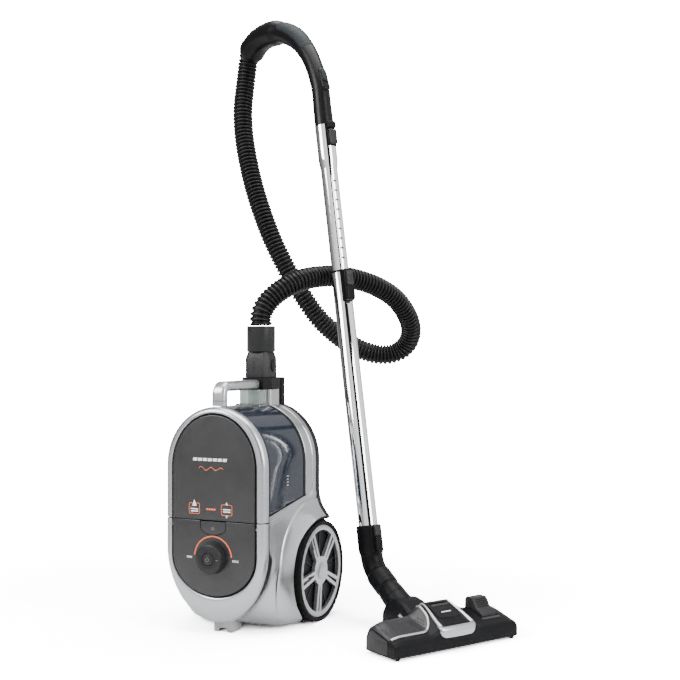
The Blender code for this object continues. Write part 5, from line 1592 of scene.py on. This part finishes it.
def build_elbow():
    joint = plane_point(*NECK_JOINT)
    bend = plane_point(*NECK_BEND)
    way = (bend - joint).normalized()
    corner = [joint + way * 0.0006, joint + way * 0.012, bend - way * 0.020,
              bend + (WAND_AXIS - way) * 0.0055, bend.lerp(WAND_FOOT, 0.65), WAND_FOOT - WAND_AXIS * 0.004]
    path = smooth_path(corner, 0.0016)
    radii = [elbow_radius(i / (len(path) - 1)) for i in range(len(path))]
    piece("elbow", tube(path, radii, WAND_SIDE, 48), BLACK, "wand", "neck_elbow", sharp=60)
    bore = LOWER_TUBE_RADIUS + 0.0003
    collar = [(0.0196, -0.0080), (0.0208, -0.0020), (0.0224, 0.0020), (0.0226, 0.0040), (0.0226, 0.0440),
              (0.0222, 0.0462), (0.0212, 0.0480), (bore, 0.0480), (bore, -0.0080)]
    piece("elbow_collar", turned(collar, WAND, 64), BLACK, "wand")
    base = rounded_rectangle(0.0078, 0.0135, 0.0028, (0, 0.0145))
    wand_key("collar_lug", base, (0.017, 0.0290), 0.0026, BLACK, "wand")
    key = rounded_rectangle(0.0074, 0.0094, 0.0026, (0, 0.0372))
    wand_key("collar_key", key, (0.0242, 0.0290), 0.0020, DARK_GREY, "neck_key", "neck_latch")
    flange = rounded_rectangle(0.0090, 0.0175, 0.0030, (0, 0.0260))
    rear = frame_at(WAND_FOOT, -WAND_SIDE, WAND_AXIS, -WAND_FRONT)
    piece("collar_flange", cushion(flange, 0.016, 0.0262, 0.0020, rear), BLACK, "wand")


def build_carriage():
    """The tilting housing behind the nozzle, with its tube, barrel and rollers."""
    outline = [(-0.100, 0.0180), (-0.096, 0.0100), (-0.088, 0.0062), (-0.060, 0.0060), (-0.014, 0.0195),
               (-0.0125, 0.0300), (-0.0135, 0.0400), (-0.028, 0.0490), (-0.044, 0.0575), (-0.060, 0.0610),
               (-0.076, 0.0590), (-0.090, 0.0490), (-0.099, 0.0330)]
    levels = [(-0.0250, 0.0045), (-0.0238, 0.0020), (-0.0210, 0.0004), (-0.0160, 0.0), (0.0160, 0.0),
              (0.0210, 0.0004), (0.0238, 0.0020), (0.0250, 0.0045)]
    piece("carriage", stack(outline, levels, PLANE), BLACK, "neck", "nozzle_carriage")
    start, joint = plane_point(*NECK_START), plane_point(*NECK_JOINT)
    way = (joint - start).normalized()
    path = [start + way * length for length in (0.0, 0.010, 0.020, 0.024, 0.0245, 0.027, 0.0275, 0.0400,
                                                0.0445, 0.0470, (joint - start).length)]
    radii = [0.0235, 0.0232, 0.0226, 0.0224, 0.0216, 0.0216, 0.0222, 0.0216, 0.0212, 0.0206, 0.0200]
    piece("carriage_duct", tube(path, radii, WAND_SIDE, 56), BLACK, "neck", sharp=50)
    barrel = PLANE @ Matrix.Translation((-TILT_S, TILT_Z, 0))
    profile = [(0.0034, -0.0250), (0.0100, -0.0250), (0.0113, -0.0238), (0.0113, 0.0238), (0.0100, 0.0250),
               (0.0034, 0.0250)]
    piece("tilt_barrel", turned(profile, barrel, 48), DARK_GREY, "neck")
    for side, word in SIDES:
        centre = PLANE @ Matrix.Translation((-0.078, 0.0120, 0))
        rows = [(0.0021, 0.0257), (0.0100, 0.0257), (0.0114, 0.0265), (0.0115, 0.0290), (0.0112, 0.0306),
                (0.0100, 0.0315), (0.0085, 0.0315), (0.0075, 0.0305), (0.0040, 0.0305), (0.0021, 0.0312)]
        mesh = turned([(r, side * x) for r, x in rows], centre, 48)
        roller = "roller_left" if word == "left" else "roller_right"
        piece("roller_tyre_" + word, mesh, TYRE, roller, "carriage_wheel_" + word)
        wedge_side = PLANE @ Matrix.Translation((0, 0, side * 0.0250))
        wedge = [(-0.052, 0.0345), (-0.036, 0.0300), (-0.033, 0.0325), (-0.047, 0.0395)]
        low_z, high_z = sorted((0.0, side * 0.0010))
        piece("carriage_wedge_" + word, plate([wedge], low_z, high_z, wedge_side), SILVER, "neck")


# ---- Floor nozzle -------------------------------------------------------------------------------------
def rear_height(l):
    """The nozzle's height near its rear edge, at a place along its length."""
    hump = smooth(abs(l), 0.062, 0.022)
    return mix(mix(0.0500, 0.0435, smooth(abs(l), 0.105, NOZZLE_HALF_LENGTH)), 0.0675, hump)


def front_height(l):
    hump = smooth(abs(l), 0.056, 0.024)
    return mix(0.0290 - 0.0015 * smooth(abs(l), 0.115, NOZZLE_HALF_LENGTH), 0.0405, hump)


def nozzle_height(f, l):
    """The nozzle's upper surface: a rounded rear, a slope forward and a rounded front edge."""
    rear, front = rear_height(l), front_height(l)
    share = min(1.0, max(0.0, (f - 0.014) / (NOZZLE_DEPTH - 0.014)))
    z = mix(rear, front, share ** 1.15)
    if f < 0.014:
        z = rear - 0.020 * (1 - math.sqrt(max(0.0, 1 - ((0.014 - f) / 0.014) ** 2)))
    if f > NOZZLE_DEPTH - 0.005:
        drop = (f - NOZZLE_DEPTH + 0.005) / 0.005
        z -= 0.0045 * (1 - math.sqrt(max(0.0, 1 - drop * drop)))
    end = NOZZLE_HALF_LENGTH - abs(l)
    if end < 0.006:
        z -= 0.004 * (1 - math.sqrt(max(0.0, 1 - ((0.006 - end) / 0.006) ** 2)))
    return z


def nozzle_point(f, l, z):
    return NOZZLE @ Vector((f, l, z))


def nozzle_stations():
    half = NOZZLE_HALF_LENGTH
    ends = [0.0, 0.0008, 0.002, 0.0035, 0.006, 0.010, 0.018, 0.028, 0.038]
    left = [-half + e for e in ends]
    middle = [-0.088 + 0.0055 * i for i in range(33)]
    return left + middle + [-l for l in reversed(left)]


def depth_stations():
    rear = [0.0, 0.0006, 0.002, 0.0045, 0.008, 0.014]
    middle = [0.020, 0.026, 0.032, 0.038, 0.044, 0.050, 0.056, 0.062]
    front = [NOZZLE_DEPTH - e for e in (0.0075, 0.005, 0.0032, 0.0018, 0.0008, 0.0)]
    return rear + middle + front


def build_nozzle_shell():
    sections = []
    for l in nozzle_stations():
        section = [nozzle_point(0.0, l, NOZZLE_UNDERSIDE)]
        section += [nozzle_point(f, l, nozzle_height(f, l)) for f in depth_stations()]
        section.append(nozzle_point(NOZZLE_DEPTH, l, NOZZLE_UNDERSIDE))
        sections.append(section)
    shell = piece("nozzle_body", loft(sections), BLACK, "nozzle", "nozzle_shell", sharp=50)
    room = block((0.0034, 0.0713, 0.0350), (0.0515, 0.1087, 0.09), NOZZLE)
    hollow = block((0.003, -0.1295, -0.01), (0.0705, 0.1295, 0.0200), NOZZLE)
    carve(shell, room, hollow)
    for side, word in SIDES:
        lug = [(-0.022, 0.0340), (-0.020, 0.0200), (0.0030, 0.0140), (0.0030, 0.0500), (-0.012, 0.0470)]
        low_z, high_z = sorted((side * 0.0258, side * 0.0325))
        levels = [(low_z, 0.0006), (low_z + 0.0006, 0), (high_z - 0.0006, 0), (high_z, 0.0006)]
        piece("tilt_lug_" + word, stack(lug, levels, PLANE), BLACK, "nozzle")
        spot = (NOZZLE_DEPTH - 0.0062, side * (NOZZLE_HALF_LENGTH - 0.010))
        foot = rounded_rectangle(0.0050, 0.0035, 0.0015, spot)
        piece("front_foot_" + word, stack(foot, [(0.0006, 0.0006), (0.0012, 0), (0.0060, 0)], NOZZLE), BLACK,
              "nozzle")


def draped(outline_f, l_values, lift, sink):
    """A sheet lying on the nozzle between two edges, each a function of the place along it."""
    sections = []
    rows = 14
    for l in l_values:
        near, far = outline_f(l)
        top = [nozzle_point(mix(near, far, i / rows), l, nozzle_height(mix(near, far, i / rows), l) + lift)
               for i in range(rows + 1)]
        under = [nozzle_point(mix(far, near, i / rows), l, nozzle_height(mix(far, near, i / rows), l) - sink)
                 for i in range(rows + 1)]
        sections.append(top + under)
    return loft(sections)


DOME_RIGHT = -0.0345
DOME_FRONT = 0.0600


def dome_front(l):
    """The left cover's front edge, which turns rearward in a round corner beside the middle."""
    corner = 0.030
    into = max(0.0, l - (DOME_RIGHT - corner)) / corner
    return DOME_FRONT - 0.040 * (1 - math.sqrt(max(0.0, 1 - min(1.0, into) ** 2)))


def build_dome():
    places = [-0.1312 + (DOME_RIGHT + 0.1312) * i / 48 for i in range(49)]
    piece("left_cover", draped(lambda l: (0.0045, dome_front(l)), places, 0.0011, 0.002), COVER, "nozzle",
          sharp=50)
    edge = [(dome_front(l), l) for l in places[1:]]
    edge += [(f, DOME_RIGHT + 0.0006) for f in (0.014, 0.008)]
    points = [nozzle_point(f + 0.0008, l, nozzle_height(f, l) + 0.0008) for f, l in edge]
    path = smooth_path(points, 0.0030)
    piece("left_trim", tube(path, [0.0021] * len(path), Vector((0, 0, 1)), 12), SILVER, "nozzle")
    number = 0
    for row in range(5):
        for column in range(5):
            f = 0.0300 + 0.0052 * row
            l = -0.0700 + 0.0052 * column + 0.0016 * row
            if f > dome_front(l) - 0.006:
                continue
            centre = nozzle_point(f, l, nozzle_height(f, l) + 0.0009)
            mesh = turned([(0, 0.0005), (0.0013, 0.0004), (0.0015, 0.0), (0, 0.0)],
                          Matrix.Translation(centre), 16, closed=False)
            piece(f"cover_dot_{number}", mesh, BLACK, "nozzle")
            number += 1


def build_end_caps():
    for side, word in SIDES:
        place = frame_at(NOZZLE_REAR + NOZZLE_SIDE * side * NOZZLE_HALF_LENGTH, NOZZLE_FORWARD,
                         (0, 0, 1), NOZZLE_SIDE * side)
        outline = [(0.0030, 0.0065), (0.0560, 0.0065), (0.0560, 0.0290), (0.0400, 0.0330), (0.0160, 0.0400),
                   (0.0060, 0.0360), (0.0030, 0.0290)]
        if side < 0:
            piece("end_cap_" + word, cushion(outline, -0.001, 0.0004, 0.0003, place), DARK_GREY, "nozzle")
        else:
            mirrored = list(reversed(outline))
            piece("end_cap_" + word, cushion(mirrored, -0.001, 0.0004, -0.0003, place), DARK_GREY, "nozzle")
        for row in range(3):
            for column in range(6):
                spot = circle(0.0009, 12, (0.0260 + 0.0045 * column, 0.0175 + 0.0040 * row))
                piece(f"end_dot_{word}_{row}_{column}", plate([spot], 0.0003, 0.0006, place), BLACK, "nozzle")


def insert_edges(l):
    return 0.0065, 0.0560 - 0.0035 * (l / 0.024) ** 2


def build_centre():
    """The middle insert with its two vents, its signs, side trims and the silver front bumper."""
    places = [-0.0235 + 0.047 * i / 24 for i in range(25)]
    sheet = draped(insert_edges, places, 0.0016, 0.003)
    made = piece("centre_insert", sheet, GLOSS_BLACK, "nozzle", sharp=50)
    vents = []
    for f in (0.0135, 0.0225):
        z = nozzle_height(f, 0.0)
        vents.append(block((f - 0.0024, -0.0175, z - 0.0015), (f + 0.0024, 0.0175, z + 0.01), NOZZLE))
    carve(made, *vents)
    for number, f in enumerate((0.0180, 0.0270)):
        ledge = draped(lambda l, f=f: (f - 0.0020, f + 0.0010), [-0.0180, -0.009, 0, 0.009, 0.0180], 0.0030,
                       0.002)
        piece(f"vent_ledge_{number}", ledge, PANEL, "nozzle", sharp=40)
    bar = draped(lambda l: (0.0425, 0.0440), [-0.0100, -0.005, 0, 0.005, 0.0100], 0.0018, 0.001)
    piece("insert_bar", bar, WHITE_INK, "nozzle")
    sign = draped(lambda l: (0.0345 - abs(l) * 0.35, 0.0354 - abs(l) * 0.35),
                  [-0.006, -0.003, 0, 0.003, 0.006], 0.0018, 0.001)
    piece("insert_sign", sign, MID_GREY, "nozzle")
    for side, word in SIDES:
        edge = []
        for i in range(21):
            f = mix(0.0080, NOZZLE_DEPTH - 0.004, i / 20)
            l = side * (0.0262 + 0.0070 * smooth(f, 0.012, 0.066))
            edge.append(nozzle_point(f, l, nozzle_height(f, l) + 0.0006))
        mesh = tube(edge, [mix(0.0014, 0.0036, (i / 20) ** 1.3) for i in range(21)], Vector((0, 0, 1)), 16)
        piece("insert_trim_" + word, mesh, SILVER, "nozzle")
    build_bumper()


def build_bumper():
    low_z, high_z = 0.0240, 0.0400
    sections = []
    for step in range(33):
        l = mix(-0.0375, 0.0375, step / 32)
        bow = 1 - (l / 0.0375) ** 2
        thickness = 0.0004 + 0.0050 * bow ** 0.5
        bottom = mix(high_z - 0.008, low_z, min(1.0, bow * 2.2) ** 0.5)
        front = NOZZLE_DEPTH + thickness
        top = high_z + 0.0008
        places = [(NOZZLE_DEPTH - 0.010, top + 0.0005), (front - 0.0040, top), (front - 0.0014, top - 0.0014),
                  (front, top - 0.0044), (front, bottom + 0.0020), (front - 0.0008, bottom),
                  (NOZZLE_DEPTH - 0.010, bottom)]
        sections.append([nozzle_point(f, l, z) for f, z in places])
    piece("bumper", loft(sections), SILVER, "nozzle", "nozzle_bumper", sharp=50)


def build_pedal():
    outline = [(0.0490, 0.0380), (0.0490, 0.0425), (0.0485, 0.0437), (0.0350, 0.0510), (0.0262, 0.0645),
               (0.0245, 0.0662), (0.0110, 0.0665), (0.0088, 0.0655), (0.0062, 0.0610), (0.0060, 0.0440),
               (0.0260, 0.0350)]
    levels = [(-0.1065, 0.0012), (-0.1061, 0.0004), (-0.1052, 0), (-0.0748, 0), (-0.0739, 0.0004),
              (-0.0735, 0.0012)]
    piece("foot_pedal", stack(outline, levels, PLANE), DARK_GREY, "pedal", "nozzle_pedal")
    for rib in range(5):
        share = rib / 4
        centre = NOZZLE @ Vector((mix(0.0275, 0.0345, share), 0.09, mix(0.0632, 0.0520, share)))
        lean = frame_at(centre, NOZZLE_SIDE, NOZZLE_FORWARD.cross(NOZZLE_SIDE), NOZZLE_FORWARD)
        rung = rounded_rectangle(0.0125, 0.0005, 0.0004)
        piece(f"pedal_rib_{rib}", stack(rung, [(-0.0020, 0), (0.0003, 0)], lean), BLACK, "pedal")
    tray = draped(lambda l: (0.0520, 0.0560), [0.0700 + 0.004 * i for i in range(11)], 0.0009, 0.002)
    piece("pedal_tray", tray, PANEL, "nozzle", sharp=40)


# ---- CAD nodes that stay ------------------------------------------------------------------------------
KEPT = {
    "inlet_seal": TYRE, "motor_housing": DARK_GREY, "motor_rotor": DARK_GREY, "motor_filter": FOAM,
    "cord_reel": DARK_GREY, "reel_spindle": STEEL, "cord_outlet": DARK_GREY, "exhaust_filter": FOAM,
    "exhaust_grille": DARK_GREY, "control_board": BOARD, "axle_left": STEEL, "axle_right": STEEL,
    "castor_fork": DARK_GREY, "castor_wheel": TYRE, "castor_pin": STEEL, "cyclone_cone": MID_GREY,
    "mesh_filter": MID_GREY, "dust_plate": BLACK, "tilt_pin": STEEL, "nozzle_soleplate": STEEL,
    "brush_strip": BRISTLE,
}


def dress_kept_nodes():
    for name, finish in KEPT.items():
        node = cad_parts[name]
        for place in node.material_slots:
            place.link = "OBJECT"
            place.material = finish


build_studio()
build_hose()
build_lower_shell()
for arch_side, arch_word in SIDES:
    build_wheel_arch(arch_side, arch_word)
    build_wheel_liner(arch_side, arch_word)
    build_wheel(arch_side, arch_word)
build_rear_arch()
build_sill()
build_deck()
build_column()
build_back()
build_rims()
build_panels()
build_release_button()
build_prints()
build_knob()
build_bracket()
build_tub()
build_neck_duct()
build_carry_handle()
build_inlet()
build_tubes()
build_lock()
build_head_latch()
build_handle()
build_elbow()
build_carriage()
build_nozzle_shell()
build_dome()
build_end_caps()
build_centre()
build_pedal()
dress_kept_nodes()

bpy.context.view_layer.update()
